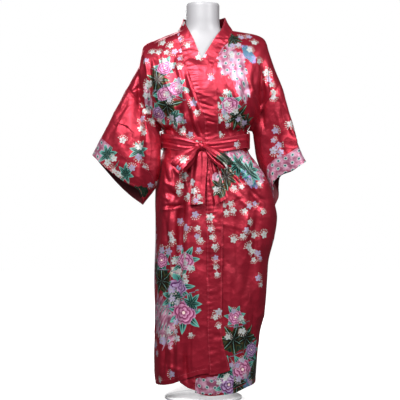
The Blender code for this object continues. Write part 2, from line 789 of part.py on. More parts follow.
def build_back(material):
    points = back_panel(BACK_COLUMNS)
    normals = grid_normals(points)
    seat_armhole("left", points, normals, 0, 2 - ROW_SHARES)
    seat_armhole("right", points, normals, -1, 2 - ROW_SHARES)
    u = np.linspace(0, 1, BACK_COLUMNS)
    shoulders = [np.flatnonzero(u < SHOULDER_SPAN + 0.01), np.flatnonzero(u > 0.99 - SHOULDER_SPAN)]
    for part in shoulders:
        shoulder_normals(points, normals, part)
    line = points[0].copy()
    points = pull_in(points, NECK_GAP)
    for part in shoulders:
        points[0, part] = line[part]
        part_shoulder(points, part, 1)
    make_wall("back", points, CLOTH, material, normals)


def build_sleeves(sleeve_material, cuff_material):
    phi = np.concatenate([ROW_SHARES, 2 - ROW_SHARES[-2:0:-1]])[None]
    for side, name in (("left", "right"), ("right", "left")):
        cut = CUFF_START[side]
        seam = sleeve(side, np.array([[cut - 0.02], [cut], [cut + 0.02]]), phi)
        seam_normals = grid_normals(seam, closed=True)[1]
        rows = np.linspace(0, cut, SLEEVE_ROWS)[:, None] * np.ones(len(phi[0]))
        rows[0] = UNDERARM_NOTCH * ease(1 - np.abs(phi[0] - 1), 0.84, 0.97)
        whole = sleeve(side, rows, phi)
        normals = grid_normals(whole, closed=True)
        normals[0] = armhole_normals(side, phi[0], normals[0])
        normals[-1] = seam_normals
        body = pull_in(whole, RING_GAP, closed=True)
        make_wall(f"sleeve_{name}", body, CLOTH, sleeve_material, normals, closed=True)
        rows = np.linspace(cut, 1, CUFF_RINGS)[:, None]
        whole = sleeve(side, rows, phi)
        cuff_normals = grid_normals(whole, closed=True)
        cuff_normals[0] = seam_normals
        cuff = pull_in(whole, RING_GAP, closed=True)
        make_wall(f"cuff_{name}", cuff, FOLDED_CLOTH, cuff_material, cuff_normals, closed=True)


def build_bands(material):
    for side, name in (("left", "right"), ("right", "left")):
        points = pull_in(band(side, BAND_COLUMNS, BAND_ROWS), SEAM_GAP / 2)
        rows = slice(0, SEAM_ROWS["band"])
        points[rows, 0] += (points[rows, 1] - points[rows, 0]) * SEAM_EASE["band"]
        make_wall(f"band_{name}", points, FOLDED_CLOTH, material)


def build_belt(material):
    theta = np.linspace(-math.pi, math.pi, 41)[:-1]
    knot_theta = float(theta_at(KNOT[0], BELT_SIDE_Z))
    half = BELT_HALF - (BELT_HALF - BELT_KNOT_HALF) * np.exp(-(((theta - knot_theta) / 0.3) ** 2))
    rows = np.linspace(-1, 1, 3)[:, None]
    z = belt_z(theta) + half * rows
    flat = tube(theta + 0 * rows, belt_z(theta) + 0 * rows, BELT_OFFSET)
    flat[..., 2] = z
    make_wall("belt_waist", flat, FOLDED_CLOTH, material, closed=True)


def knot_surface(direction):
    """The point where a ray from the knot's middle leaves it."""
    direction = np.asarray(direction, float)
    direction = direction / np.linalg.norm(direction, axis=-1, keepdims=True)
    reach = np.sum(np.abs(direction / KNOT_HALF) ** KNOT_POWER, axis=-1) ** (-1 / KNOT_POWER)
    return KNOT + direction * reach[..., None]


def build_knot(material):
    rings = []
    for high in np.linspace(-0.46, 0.46, 9) * math.pi:
        turn = np.linspace(0, 2 * math.pi, 21)[:-1]
        ray = np.stack([
            np.full_like(turn, math.sin(high)) * KNOT_HALF[0],
            np.cos(turn) * math.cos(high) * KNOT_HALF[1],
            np.sin(turn) * math.cos(high) * KNOT_HALF[2],
        ], axis=1)
        rings.append(knot_surface(ray))
    make_rings("belt_knot", rings, material)


# The bow's loops: the way each hangs, its width direction, its length and how wide it opens
LOOPS = {
    "bow_loop_right": {
        "start": (-8, -7, 1), "along": (-0.68, -0.34, -0.68), "wide": (-0.68, 0.38, 0.58),
        "length": 108.0, "open": 27.0, "width": 48.0,
    },
    "bow_loop_left": {
        "start": (8, -8, 3), "along": (0.76, -0.36, -0.60), "wide": (0.56, 0.52, 0.54),
        "length": 116.0, "open": 27.0, "width": 34.0,
    },
}
# The tails: middle line, width direction and width
TAILS = {
    "belt_tail_right": table("x y z wx wy width", [
        (-11, -125, 850, 0.98, -0.06, 24),
        (-12, -130, 815, 0.98, -0.10, 42),
        (-15, -131, 770, 0.97, -0.12, 49),
        (-19, -134, 715, 0.98, -0.10, 49),
        (-22, -135, 658, 0.98, -0.08, 49),
    ]),
    "belt_tail_left": table("x y z wx wy width", [
        (5, -122, 852, 0.90, 0.04, 12),
        (19, -125, 822, 0.90, 0.10, 18),
        (33, -127, 775, 0.90, 0.14, 30),
        (46, -129, 725, 0.92, 0.12, 40),
        (61, -131, 668, 0.92, 0.12, 42),
    ]),
}
# The belt carriers: where they stand, as an angle, and their profile over the belt
CARRIER_ANGLES = {"belt_carrier_right": -1.32, "belt_carrier_left": 1.28}
CARRIER_WIDTH = 14.0
CARRIER_CLOTH = 1.2
CARRIER_PROFILE = table("rise out", [
    (-31, 5.4), (-29, 7.6), (-27, 10.6), (-14, 10.8), (14, 10.8), (27, 10.6), (29, 6.2), (32, 2.4),
])


def outside_knot(points, gap):
    size = KNOT_HALF + gap
    return np.sum(np.abs((points - KNOT) / size) ** KNOT_POWER, axis=-1) > 1


def trim_to_knot(grid, rows, gap):
    """Cuts a strip where each of its lines leaves the knot, and divides it anew."""
    fine = grid.shape[0]
    free = outside_knot(grid, gap)
    out = []
    for j in range(grid.shape[1]):
        first = int(np.argmax(free[:, j]))
        last = fine - 1 - int(np.argmax(free[::-1, j]))
        at = np.linspace(first, last, rows)
        out.append(np.stack([np.interp(at, np.arange(fine), grid[:, j, i]) for i in range(3)], axis=1))
    return np.stack(out, axis=1)


def bow_loop(loop, fine=400, columns=4):
    """A loop of the bow, from the knot out to its end and back behind itself."""
    along_way = np.array(loop["along"]) / np.linalg.norm(loop["along"])
    wide = np.array(loop["wide"])
    wide = wide - along_way * np.dot(wide, along_way)
    wide = wide / np.linalg.norm(wide)
    forward = np.cross(along_way, wide)
    forward = forward * (-1 if forward[1] > 0 else 1)
    turn = np.linspace(0, 1, fine)
    reach = loop["length"] * (1 - np.abs(2 * turn - 1) ** 1.7)
    lift = loop["open"] / 2 * np.sin(2 * math.pi * turn) + 3.2 * (1 - 2 * turn)
    start = KNOT + np.array(loop["start"])
    line = start + along_way * reach[:, None] + forward * lift[:, None]
    share = ease(reach, 12, 58)
    width = 17 + (loop["width"] - 17) * share
    across = np.linspace(-0.5, 0.5, columns)
    return line[:, None] + wide * (across[None, :] * width[:, None])[..., None]


def tail(path, fine=300, columns=5):
    """A tail of the sash, with a soft fold down its length."""
    points = np.stack([path["x"], path["y"], path["z"]], axis=1)
    length = np.concatenate([[0], np.cumsum(np.linalg.norm(np.diff(points, axis=0), axis=1))])
    at = np.linspace(0, length[-1], fine)
    line = np.stack([through(at, length, path[key]) for key in "xyz"], axis=1)
    side = np.stack([through(at, length, path["wx"]), through(at, length, path["wy"]), 0 * at], axis=1)
    side = side / np.linalg.norm(side, axis=1, keepdims=True)
    width = through(at, length, path["width"])
    across = np.linspace(-0.5, 0.5, columns)
    grid = line[:, None] + side[:, None] * (across[None, :] * width[:, None])[..., None]
    grid[..., 1] -= 3.0 * np.cos(2 * math.pi * across)[None] * ease(at, 0, 60)[:, None]
    return grid


def build_bow(material):
    for name, loop in LOOPS.items():
        make_wall(name, trim_to_knot(bow_loop(loop), 22, LOOP_GAP), FOLDED_CLOTH, material)
    for name, path in TAILS.items():
        make_wall(name, trim_to_knot(tail(path), 12, TAIL_GAP), FOLDED_CLOTH, material)


def build_carriers(material):
    across = np.linspace(-0.5, 0.5, 3) * CARRIER_WIDTH
    for name, angle in CARRIER_ANGLES.items():
        theta = np.full((len(CARRIER_PROFILE["rise"]), 3), angle)
        level = np.full_like(theta, belt_z(angle))
        points = tube(theta, level, CARRIER_PROFILE["out"][:, None])
        ahead = tube(theta + 0.02, level) - tube(theta - 0.02, level)
        ahead = ahead / np.linalg.norm(ahead, axis=-1, keepdims=True)
        points = points + ahead * across[None, :, None]
        points[..., 2] = level + CARRIER_PROFILE["rise"][:, None]
        make_wall(name, points, CARRIER_CLOTH, material)


def build_form(material):
    rings = []
    body, neck = np.linspace(FORM_BOTTOM, 1150, 11), np.linspace(1165, 1262, 8)
    heights = np.concatenate([body, neck, [1290, 1334, 1337]])
    turn = np.linspace(0, 2 * math.pi, 33)[:-1]
    for z in heights:
        half, front, back = (float(read(FORM, "z", key, z)) for key in ("half", "front", "back"))
        deep = np.where(np.cos(turn) > 0, front, back)
        shrink = 1.0 if z < 1336 else 0.95
        x = NECK_X + half * power(np.sin(turn), 2 / SECTION_POWER) * shrink
        y = -deep * power(np.cos(turn), 2 / SECTION_POWER) * shrink
        rings.append(np.stack([x, y, np.full_like(x, z)], axis=1))
    make_rings("form_torso", rings, material)


def build_stand(material):
    turn = np.linspace(0, 2 * math.pi, 49)[:-1]
    ring = np.stack([np.cos(turn), np.sin(turn), 0 * turn], axis=1)
    up = np.array([0, 0, 1.0])
    edge = 1.5
    make_rings("stand_base", [
        ring * BASE_RADIUS,
        ring * BASE_RADIUS + up * (BASE_THICKNESS - edge),
        ring * (BASE_RADIUS - edge) + up * BASE_THICKNESS,
    ], material)
    pole = ring[::3] * POLE_RADIUS
    gap = 0.3
    make_rings("stand_pole", [pole + up * (BASE_THICKNESS + gap), pole + up * (FORM_BOTTOM - gap)], material)


def main():
    for obj in list(bpy.data.objects):
        bpy.data.objects.remove(obj)
    satin = make_material("satin_print", (0.36, 0.014, 0.033), 0.38)
    cuffs = make_material("satin_cuff", (0.40, 0.10, 0.13), 0.38)
    plain = make_material("satin_band", (0.38, 0.015, 0.035), 0.36)
    sash = make_material("satin_sash", (0.38, 0.015, 0.035), 0.36)
    shell = make_material("form_shell", (0.7, 0.69, 0.7), 0.35)
    stand = make_material("stand_metal", (0.8, 0.8, 0.8), 0.4)
    build_form(shell)
    build_stand(stand)
    build_back(satin)
    build_fronts(satin)
    build_sleeves(satin, cuffs)
    build_bands(plain)
    build_belt(sash)
    build_knot(sash)
    build_bow(sash)
    build_carriers(satin)


if __name__ == "__main__":
    main()
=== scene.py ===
"""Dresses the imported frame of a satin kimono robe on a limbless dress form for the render.

Sizes are in millimetres and become metres when a mesh is made. X runs to the viewer's right, the
front of the robe faces -Y and Z is up. The side names "left" and "right" in the tables are the
viewer's; the names of pieces use the wearer's sides.
"""

import itertools
import math

import bpy
import numpy as np
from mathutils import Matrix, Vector


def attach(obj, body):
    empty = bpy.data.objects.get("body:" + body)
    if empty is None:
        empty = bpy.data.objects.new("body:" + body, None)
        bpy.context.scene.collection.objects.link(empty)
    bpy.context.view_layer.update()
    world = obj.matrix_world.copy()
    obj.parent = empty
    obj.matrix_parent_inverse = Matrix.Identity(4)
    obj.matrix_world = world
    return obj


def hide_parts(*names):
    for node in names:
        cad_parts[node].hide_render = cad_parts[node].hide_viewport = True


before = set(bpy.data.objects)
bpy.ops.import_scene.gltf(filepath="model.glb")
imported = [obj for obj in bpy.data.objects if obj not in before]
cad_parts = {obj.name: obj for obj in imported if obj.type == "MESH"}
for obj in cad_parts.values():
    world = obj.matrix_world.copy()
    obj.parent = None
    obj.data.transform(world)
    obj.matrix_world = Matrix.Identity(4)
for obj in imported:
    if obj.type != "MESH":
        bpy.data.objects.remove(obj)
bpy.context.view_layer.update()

bl_info = {
    "name": "Kimono robe on a dress form",
    "version": (1, 0, 0),
    "blender": (4, 5, 0),
    "location": "View3D > Sidebar > Kimono",
    "description": "Builds the cloth, sewing, form, stand and studio of a satin kimono robe",
    "category": "Object",
}

METRES = 0.001
TINY = 1e-9
MERGE_DISTANCE = 0.00002

# Layers and gaps
TOP_LAYER = 5.2
FORM_CLEARANCE = 1.5
FORM_RISE = 5.0
SEAM_GAP = 0.3
HEM_GUIDE_Z = 60.0
CRUMPLE_SEED = 3
# How much longer or shorter the crumpling runs along x, y and z
PANEL_STRETCH = (1, 1, 1.6)
SLEEVE_STRETCH = (1, 1, 1.3)
BAND_STRETCH = (0.5, 1, 0.5)
CREASE_GAIN = 1.9
WEARER = {"left": "right", "right": "left"}

# The belt: its middle height at the sides, how far it sags in front, and half its width
BELT_SIDE_Z = 872.0
BELT_SAG = 21.0
BELT_HALF = 24.0
BELT_KNOT_HALF = 12.0
BELT_OFFSET = 8.4
WAIST_TOP = 36.0

# The knot: its middle and half sizes
KNOT = np.array([-9.0, -126.3, 847.0])
KNOT_HALF = np.array([23.0, 12.6, 14.5])
KNOT_POWER = 2.6
# How far the loops and the tails reach into it
KNOT_TUCK = 2.0

# The stand
BASE_RADIUS = 130.0
BASE_THICKNESS = 8.0
POLE_RADIUS = 12.5
FORM_BOTTOM = 590.0
# The form's rings from its top to its bottom, and how many of them make each flat end
FORM_RINGS = 160
FORM_CAP = 10
FORM_ROUNDING = 0.045

SECTION_POWER = 2.2
SLEEVE_POWER = 0.62
CHEST_HALF = 190.0
# The share of a band's length that runs round the neck, and the point of it on the shoulder line
NECK_SHARE = 0.42
SHOULDER_POINT = 3
# How far the cloth bags out over the belt, how high over the belt's middle, and how widely
BLOUSE = {"front": 9.0, "back": 8.0}
BLOUSE_RISE = 48.0
BLOUSE_SPREAD = 16.0
# Where the front on top lies over the other on the chest: fading in across, and fading out upwards
LAPEL_SIDE = (-112, -66)
CHEST_TOP = (1165, 1105)
BACK_TOP = (1225, 1170)
# Where the waist's sections give way to the chest's, and how far to each side layers nest
CHEST_START = (903, 950)
CHEST_SIDE = (112, 62)
# Between which heights the depth of the chest is evened out: fading in, and fading out
EVEN_FROM = (1050, 1080)
EVEN_TO = (1200, 1170)
# How often the depth of the chest is evened out
FRONT_PASSES = 40
BAND_PASSES = 90
HEM_LEVEL = 90.0

# How finely each piece is divided; the bodice's rows and the sleeve's ring share their places
BODICE_ROWS = 97
SKIRT_ROWS = 180
FRONT_COLUMNS = 110
BACK_COLUMNS = 161
SLEEVE_ROWS = 100
CUFF_ROWS = 24
BAND_COLUMNS = 14
BAND_ROWS = 200
ROW_SHARES = np.linspace(0, 1, BODICE_ROWS) ** 1.1
SKIRT_SHARES = np.linspace(0, 1, SKIRT_ROWS) ** 1.12
# The share of the back's columns that lie on one shoulder, and over what share of a panel's columns
# its edge is brought to the sleeve
SHOULDER_SPAN = 10 / 28
FRONT_SEAT = 0.25
BACK_SEAT = 0.12


def table(names, rows):
    """Named columns, each as an array."""
    return dict(zip(names.split(), np.array(rows, float).T))


# Closed sections of the robe from above the belt to the hem, as half widths and half depths
BODY = table("z left right front back", [
    (20, 158, 172, 118, 114),
    (100, 167, 179, 120, 116),
    (150, 168, 183, 121, 117),
    (216, 166, 190, 122, 118),
    (295, 165, 208, 123, 118),
    (400, 167, 216, 124, 119),
    (454, 166, 219, 124, 119),
    (546, 163, 240, 124, 118),
    (614, 163, 250, 123, 117),
    (655, 164, 243, 122, 115),
    (716, 163, 228, 119, 112),
    (760, 158, 206, 116, 108),
    (800, 150, 178, 111, 102),
    (842, 137, 151, 104, 96),
    (902, 136, 148, 104, 96),
    (960, 150, 160, 121, 98),
])

# Depths of the robe down the middle of the chest and the back
CHEST = table("z front back", [
    (880, 105, 96),
    (915, 117, 103),
    (960, 122, 102),
    (1030, 125, 102),
    (1100, 113, 101),
    (1150, 98, 95),
    (1190, 78, 86),
    (1247, 50, 60),
])

# The dress form: half width, and depths in front and behind
FORM = table("z half front back", [
    (590, 146, 96, 92),
    (640, 150, 102, 98),
    (720, 147, 102, 95),
    (800, 134, 95, 87),
    (880, 119, 91, 79),
    (960, 133, 102, 82),
    (1030, 154, 114, 88),
    (1100, 171, 100, 90),
    (1150, 178, 82, 85),
    (1185, 173, 69, 78),
    (1200, 160, 64, 74),
    (1215, 132, 60, 69),
    (1230, 95, 57, 62),
    (1245, 69, 56, 58),
    (1262, 59, 56, 57),
    (1290, 57, 57, 57),
    (1337, 57, 57, 57),
])
NECK_X = -3.0

# The shoulder line, from the neck over the shoulder's tip to the sleeve seam
SHOULDER = {
    "left": table("x y z", [
        (-88, 2, 1244),
        (-124, 2, 1231),
        (-168, 2, 1213),
        (-193, 1, 1203),
        (-205, 0, 1191),
        (-212, 0, 1157),
        (-216, 0, 1135),
        (-231, 0, 1103),
        (-248, 0, 1072),
        (-259, 0, 1052),
    ]),
    "right": table("x y z", [
        (99, 2, 1247),
        (135, 2, 1241),
        (170, 2, 1235),
        (200, 1, 1223),
        (211, 0, 1210),
        (222, 0, 1175),
        (243, 0, 1113),
        (261, 0, 1069),
    ]),
}

# The sleeves: the folded top edge and the seam below, from the sleeve seam to the wrist
SLEEVE_TOP = {
    "left": table("x y z", [(-259, 0, 1052), (-299, 0, 976), (-339, 0, 900), (-378, 0, 825)]),
    "right": table("x y z", [
        (261, 0, 1069), (280, 0, 1008), (300, 2, 940), (327, 4, 843), (347, 5, 802),
    ]),
}
SLEEVE_BELOW = {
    "left": table("x y z", [
        (-149, -13, 904), (-143.5, -40, 872), (-143.5, -64, 800), (-153, -66, 732), (-205, -32, 656),
    ]),
    "right": table("x y z", [
        (165, 6, 905), (173, 22, 868), (180, 42, 826), (196, 60, 776), (224, 72, 712), (246, 64, 650),
    ]),
}
SLEEVE_DEPTH = {
    "left": table("s front back", [(0, 50, 46), (0.5, 55, 46), (1, 50, 44)]),
    "right": table("s front back", [(0, 54, 48), (0.5, 52, 50), (1, 48, 52)]),
}
# How far the front and back edges of each cuff lie along the sleeve from the line between its corners
CUFF_TILT = {
    "left": table("w front back", [
        (0, 0, 0), (0.3, -4, 7), (0.6, -14, 11), (0.8, -26, 8), (0.93, -14, 3), (1, 0, 0),
    ]),
    "right": table("w front back", [
        (0, 0, 0), (0.25, -20, -16), (0.47, -46, -40), (0.63, -52, -26), (0.82, -32, -4), (1, 0, 0),
    ]),
}
CUFF_START = {"left": 0.745, "right": 0.80}

# Edges of the front bands: around the neck as points, then down the front as widths at heights
NECK_SEAM = {
    "left": table("x y z", [
        (5, 66, 1234), (-42, 60, 1237), (-76, 34, 1242), (-88, 2, 1244),
        (-87, -30, 1222), (-77, -70, 1184), (-62, -97, 1136),
    ]),
    "right": table("x y z", [
        (5, 66, 1234), (50, 62, 1238), (86, 36, 1244), (99, 2, 1247),
        (90, -34, 1222), (63, -76, 1180), (38, -98, 1136),
    ]),
}
NECK_EDGE = {
    "left": table("x y z", [
        (4, 73, 1292), (-36, 66, 1292), (-64, 34, 1291), (-68, 4, 1288),
        (-60, -34, 1264), (-42, -64, 1228), (-8, -98, 1144),
    ]),
    "right": table("x y z", [
        (4, 73, 1292), (42, 68, 1294), (68, 38, 1296), (74, 4, 1293),
        (64, -38, 1256), (38, -72, 1214), (-4, -92, 1144),
    ]),
}
BAND_SEAM = {
    "left": table("z x", [
        (60, 22), (94, 18), (230, 12), (600, 8), (870, 5), (939, 2), (1009, -21), (1088, -47), (1136, -62),
    ]),
    "right": table("z x", [
        (20, -30), (230, -16), (600, -2), (870, 5), (960, 8), (1040, 15), (1100, 27), (1136, 38),
    ]),
}
BAND_EDGE = {
    "left": table("z x", [
        (60, 90), (110, 86), (227, 60), (420, 62), (596, 64), (850, 52),
        (910, 50), (970, 47), (1039, 43), (1075, 36), (1116, 22), (1144, -8),
    ]),
    "right": table("z x", [
        (20, -82), (230, -68), (600, -55), (870, -47), (930, -44), (1020, -34), (1100, -18), (1144, -4),
    ]),
}

# Heights of the hems against x
HEM = {
    "left": table("x z", [(-170, 49), (-110, 62), (-71, 79), (0, 100), (18, 96), (50, 99), (90, 110)]),
    "right": table("x z", [
        (-85, 74), (-45, 50), (14, 34), (51, 25), (91, 28), (115, 31), (146, 45), (180, 56),
    ]),
    "back": table("x z", [(-170, 49), (-60, 40), (60, 40), (180, 56)]),
}

# Folds as lines in the front view: upper end, lower end, height of the fold (out is plus) and half width
FRONT_FOLDS = table("x0 z0 x1 z1 out width", [
    (-216, 1120, -213, 730, -16, 17),
    (-190, 1060, -192, 760, 7, 12),
    (-172, 1070, -174, 890, -7, 11),
    (-88, 985, -66, 880, -5, 11),
    (-112, 1000, -92, 880, 5, 11),
    (150, 1040, 178, 925, 10, 10),
    (184, 1160, 206, 900, -24, 17),
    (108, 1070, 140, 900, 6, 12),
    (88, 1010, 108, 885, -5, 10),
    (272, 1020, 292, 830, -6, 13),
    (-300, 960, -270, 800, 5, 16),
    (-78, 680, -94, 330, -9, 14),
    (-52, 700, -66, 330, 4, 14),
    (-118, 835, -128, 470, 6, 13),
    (-96, 830, -104, 600, -5, 11),
    (56, 838, 134, 723, -6, 11),
    (84, 836, 176, 716, 6, 12),
    (107, 838, 200, 700, -7, 12),
    (150, 600, 152, 120, -7, 16),
    (112, 560, 116, 60, 5, 16),
    (188, 560, 180, 300, 5, 16),
    (-132, 320, -128, 40, 6, 16),
    (-44, 420, -36, 80, -4, 14),
    (40, 330, 60, 60, -3, 15),
])
BACK_FOLDS = table("x0 z0 x1 z1 out width", [
    (-214, 1130, -208, 740, -16, 15),
    (-190, 1110, -186, 800, 8, 12),
    (212, 1140, 206, 820, -18, 16),
    (186, 1080, 176, 900, 9, 12),
    (-84, 1020, -66, 885, -6, 10),
    (-44, 1040, -36, 885, 6, 11),
    (10, 1010, 6, 885, -6, 11),
    (58, 1030, 46, 885, 6, 11),
    (100, 1010, 84, 885, -6, 10),
    (-60, 840, -78, 420, 7, 15),
    (-24, 836, -30, 300, -6, 15),
    (22, 836, 24, 360, 6, 15),
    (66, 836, 84, 320, -7, 15),
    (112, 830, 150, 420, 7, 16),
    (-108, 834, -126, 380, -6, 14),
    (-96, 360, -100, 40, 6, 17),
    (-30, 340, -34, 40, -5, 17),
    (40, 380, 44, 40, 6, 17),
    (120, 400, 124, 40, -6, 17),
])

# What a motif of the print lies on
PANEL, BAND, SASH, CUFF = range(4)
MOTIF_CATCH = 7.0
MOTIF_DEPTH = 1.2
FAR_OFF = 9.0
BLOSSOM_RADIUS = 12.0
SPRAY_SCATTER = 6.0
SPRAY_STEP = 22
BLOSSOM_SPACE = 0.92

BELT_COLUMNS = 260
BELT_ROWS = 21
LOOP_ROWS = 90
LOOP_COLUMNS = 21
TAIL_ROWS = 70
TAIL_COLUMNS = 25
# How finely a loop and a tail are divided before they are trimmed, and a loop's width at the knot
LOOP_FINE = 400
TAIL_FINE = 300
LOOP_NECK = 17.0
# Distances by which cloth is kept apart or drawn in: the sleeve's notch as a share, and the seam's dip
UNDERARM_NOTCH = 0.006
SEAM_DIP = 1.2
# Sewing: from one stitch to the next, its length and width, and how far it stands off the cloth
STITCH_PITCH = 4.2
STITCH_LONG = 3.0
STITCH_WIDE = 0.5
STITCH_LIFT = 0.15
# Rows and columns of a grid that are sewn: a panel's hem, a cuff's two edges, and a band's or a sash's
HEM_ROW = -4
CUFF_LINES = (1, -3)
EDGE_LINES = (1, -2)

# Creases as lines in the front view: upper end, lower end, height (out is plus), half width and bow
FRONT_CREASES = table("x0 z0 x1 z1 out width bow", [
    (-68, 700, -78, 440, -8.5, 11, 3),
    (-76, 500, -94, 260, -7.0, 11, 3),
    (-42, 710, -52, 420, 4.0, 14, 2),
    (-102, 690, -106, 400, 4.0, 15, -3),
    (-110, 800, -96, 690, 3.6, 14, 5),
    (-132, 700, -84, 672, -3.2, 9, -4),
    (-60, 330, -70, 90, 3.4, 13, 4),
    (-94, 320, -104, 80, -3.4, 12, 3),
    (70, 820, 110, 690, -3.0, 12, 6),
    (120, 800, 168, 700, 3.0, 13, 6),
    (60, 500, 66, 200, -2.4, 14, 5),
    (90, 470, 96, 160, 2.4, 16, 5),
    (-40, 1010, -22, 890, 3.2, 9, 4),
    (-128, 290, -136, 60, -4.6, 8, 3),
    (-84, 230, -80, 56, 4.0, 8, 3),
    (-112, 210, -108, 60, 3.4, 7, -3),
    (-60, 200, -52, 60, -3.6, 7, 3),
    (-30, 300, -34, 80, 3.0, 8, 3),
    (-140, 560, -144, 330, 3.4, 9, 3),
    (-120, 460, -124, 240, -3.6, 9, 3),
    (150, 420, 158, 150, 3.2, 11, 4),
    (126, 330, 120, 90, -3.4, 10, 4),
    (66, 790, 40, 700, 2.6, 6, 4),
    (150, 700, 196, 640, -3.0, 8, 5),
    (-82, 1040, -60, 900, -3.4, 10, 5),
    (104, 1080, 128, 950, 2.6, 12, 6),
    (198, 1140, 200, 905, -5.5, 10, 4),
    (176, 1150, 190, 960, 3.4, 9, -5),
    (-176, 1120, -180, 900, -4.2, 8, 3),
    (-162, 1100, -160, 900, 2.6, 8, 2),
    (140, 640, 146, 420, 3.0, 11, 4),
    (112, 640, 118, 380, -3.2, 10, 4),
    (176, 660, 172, 400, -2.8, 10, 3),
    (30, 700, 38, 460, 2.6, 8, 3),
    (-84, 985, -58, 884, -3.4, 5.5, 3),
    (-66, 965, -45, 884, 2.6, 5, 2),
    (-50, 978, -24, 884, -3.6, 5.5, 4),
    (-32, 950, -12, 884, 2.4, 5, 2),
    (-99, 1000, -76, 886, 2.8, 6, 3),
    (-118, 962, -96, 886, -2.8, 5.5, 3),
    (-138, 950, -118, 888, 2.4, 5, 2),
    (-20, 930, -4, 884, -2.2, 4, 1),
    (-58, 1112, -4, 948, 2.6, 6, 5),
    (-70, 1092, -20, 960, -2.6, 6, 6),
    (-92, 1150, -58, 1040, 1.8, 7, 6),
    (-150, 1172, -128, 1080, -1.8, 8, 5),
    (-172, 1150, -158, 1040, 2.2, 7, -4),
    (-205, 1172, -211, 1080, 3.4, 5, 0),
    (-199, 1165, -184, 1050, 2.8, 5, -3),
    (-218, 1110, -214, 960, -3.2, 6, 2),
    (-196, 1080, -200, 930, 3.0, 6, 2),
    (-180, 1010, -182, 900, -2.6, 5, 2),
    (-128, 1085, -98, 1015, 1.8, 6, 6),
    (-40, 1040, 24, 1012, 1.5, 4, 4),
    (-22, 1000, 36, 978, -1.5, 4, 3),
    (-8, 966, 42, 948, 1.4, 4, 3),
    (2, 940, 46, 925, -1.4, 3.5, 2),
    (60, 1130, 84, 1040, 1.8, 7, 5),
    (92, 1120, 118, 1010, -2.2, 7, 6),
    (118, 1150, 140, 1040, 2.0, 7, 4),
    (152, 1060, 192, 944, 3.2, 4.5, -5),
    (166, 1100, 186, 990, -2.2, 6, 4),
    (70, 985, 92, 884, -2.8, 5, 3),
    (58, 950, 66, 884, 2.2, 4.5, 2),
    (104, 1000, 124, 886, 2.6, 5.5, 3),
    (126, 960, 148, 890, -2.8, 5, 2),
    (152, 950, 168, 890, 2.2, 5, 1),
    (196, 1150, 214, 1030, 2.6, 6, 3),
    (222, 1120, 232, 1000, -2.4, 6, 3),
    (208, 1010, 216, 900, 2.6, 6, 2),
    (-226, 1060, -282, 960, 1.8, 6, 8),
    (-250, 1020, -304, 930, -1.8, 5, -6),
    (-232, 1000, -300, 880, 2.0, 6, 9),
    (-262, 960, -330, 860, -1.6, 5, 6),
    (-216, 940, -262, 840, 2.2, 6, -6),
    (-238, 900, -300, 800, -1.8, 6, 6),
    (-214, 860, -236, 760, 2.4, 6, 3),
    (-270, 880, -322, 800, 1.6, 5, -5),
    (-228, 850, -270, 760, 1.8, 5, 5),
    (250, 1040, 292, 960, 1.6, 6, 5),
    (262, 1000, 300, 880, -2.0, 6, 7),
    (240, 980, 262, 880, 2.2, 6, -5),
    (282, 930, 318, 850, 1.7, 5, -5),
    (246, 900, 282, 820, -1.8, 6, 5),
    (228, 870, 246, 800, 2.0, 5, 3),
    (-140, 652, -66, 656, -2.8, 3.2, 2),
    (-146, 640, -84, 646, 1.8, 4, 2),
    (-138, 742, -92, 716, 1.8, 5, 5),
    (-124, 716, -80, 686, -1.8, 4.5, 4),
    (-144, 690, -110, 672, 1.5, 4, 3),
    (-110, 812, -78, 752, 2.2, 6, 4),
    (-92, 826, -58, 740, -2.4, 6, 5),
    (-136, 800, -112, 720, -2.0, 6, 3),
    (-72, 820, -48, 700, 2.0, 6, 4),
    (-104, 652, -112, 540, 1.8, 6, 4),
    (-82, 640, -86, 500, -2.4, 6, 3),
    (-136, 630, -118, 520, -1.6, 6, -4),
    (-60, 640, -66, 480, 2.0, 6, 2),
    (54, 838, 132, 722, -2.6, 6, 6),
    (76, 836, 156, 736, 2.2, 6, 6),
    (102, 838, 200, 716, -2.8, 6, 7),
    (40, 800, 96, 690, 1.8, 6, 6),
    (120, 780, 190, 690, 2.0, 6, -7),
    (146, 720, 214, 664, -1.8, 5, 5),
    (90, 720, 160, 640, 1.5, 7, 7),
    (150, 640, 140, 520, 1.8, 8, 5),
    (182, 640, 178, 480, -1.8, 7, 5),
    (14, 760, 20, 640, 2.0, 5, 3),
    (36, 730, 30, 600, -1.8, 5, -3),
    (24, 600, 32, 430, 1.6, 5, 4),
    (8, 560, 16, 380, -1.5, 5, 3),
    (-118, 440, -110, 300, 1.6, 7, 4),
    (-86, 420, -92, 240, -2.2, 7, 3),
    (-54, 380, -50, 180, 1.8, 7, 3),
    (-130, 240, -122, 90, -1.8, 8, 3),
    (-98, 200, -90, 70, 1.8, 7, 3),
    (-60, 180, -62, 80, -1.6, 6, 2),
    (96, 420, 104, 250, -1.8, 8, 5),
    (142, 380, 138, 180, 2.0, 8, 4),
    (170, 330, 164, 140, -1.8, 7, 3),
    (60, 250, 66, 100, 1.6, 7, 3),
    (110, 180, 108, 60, -1.8, 7, 3),
    (146, 150, 140, 70, 1.6, 6, 2),
    (-150, 120, -60, 104, 1.3, 5, -5),
    (40, 62, 130, 66, 1.3, 5, -5),
])
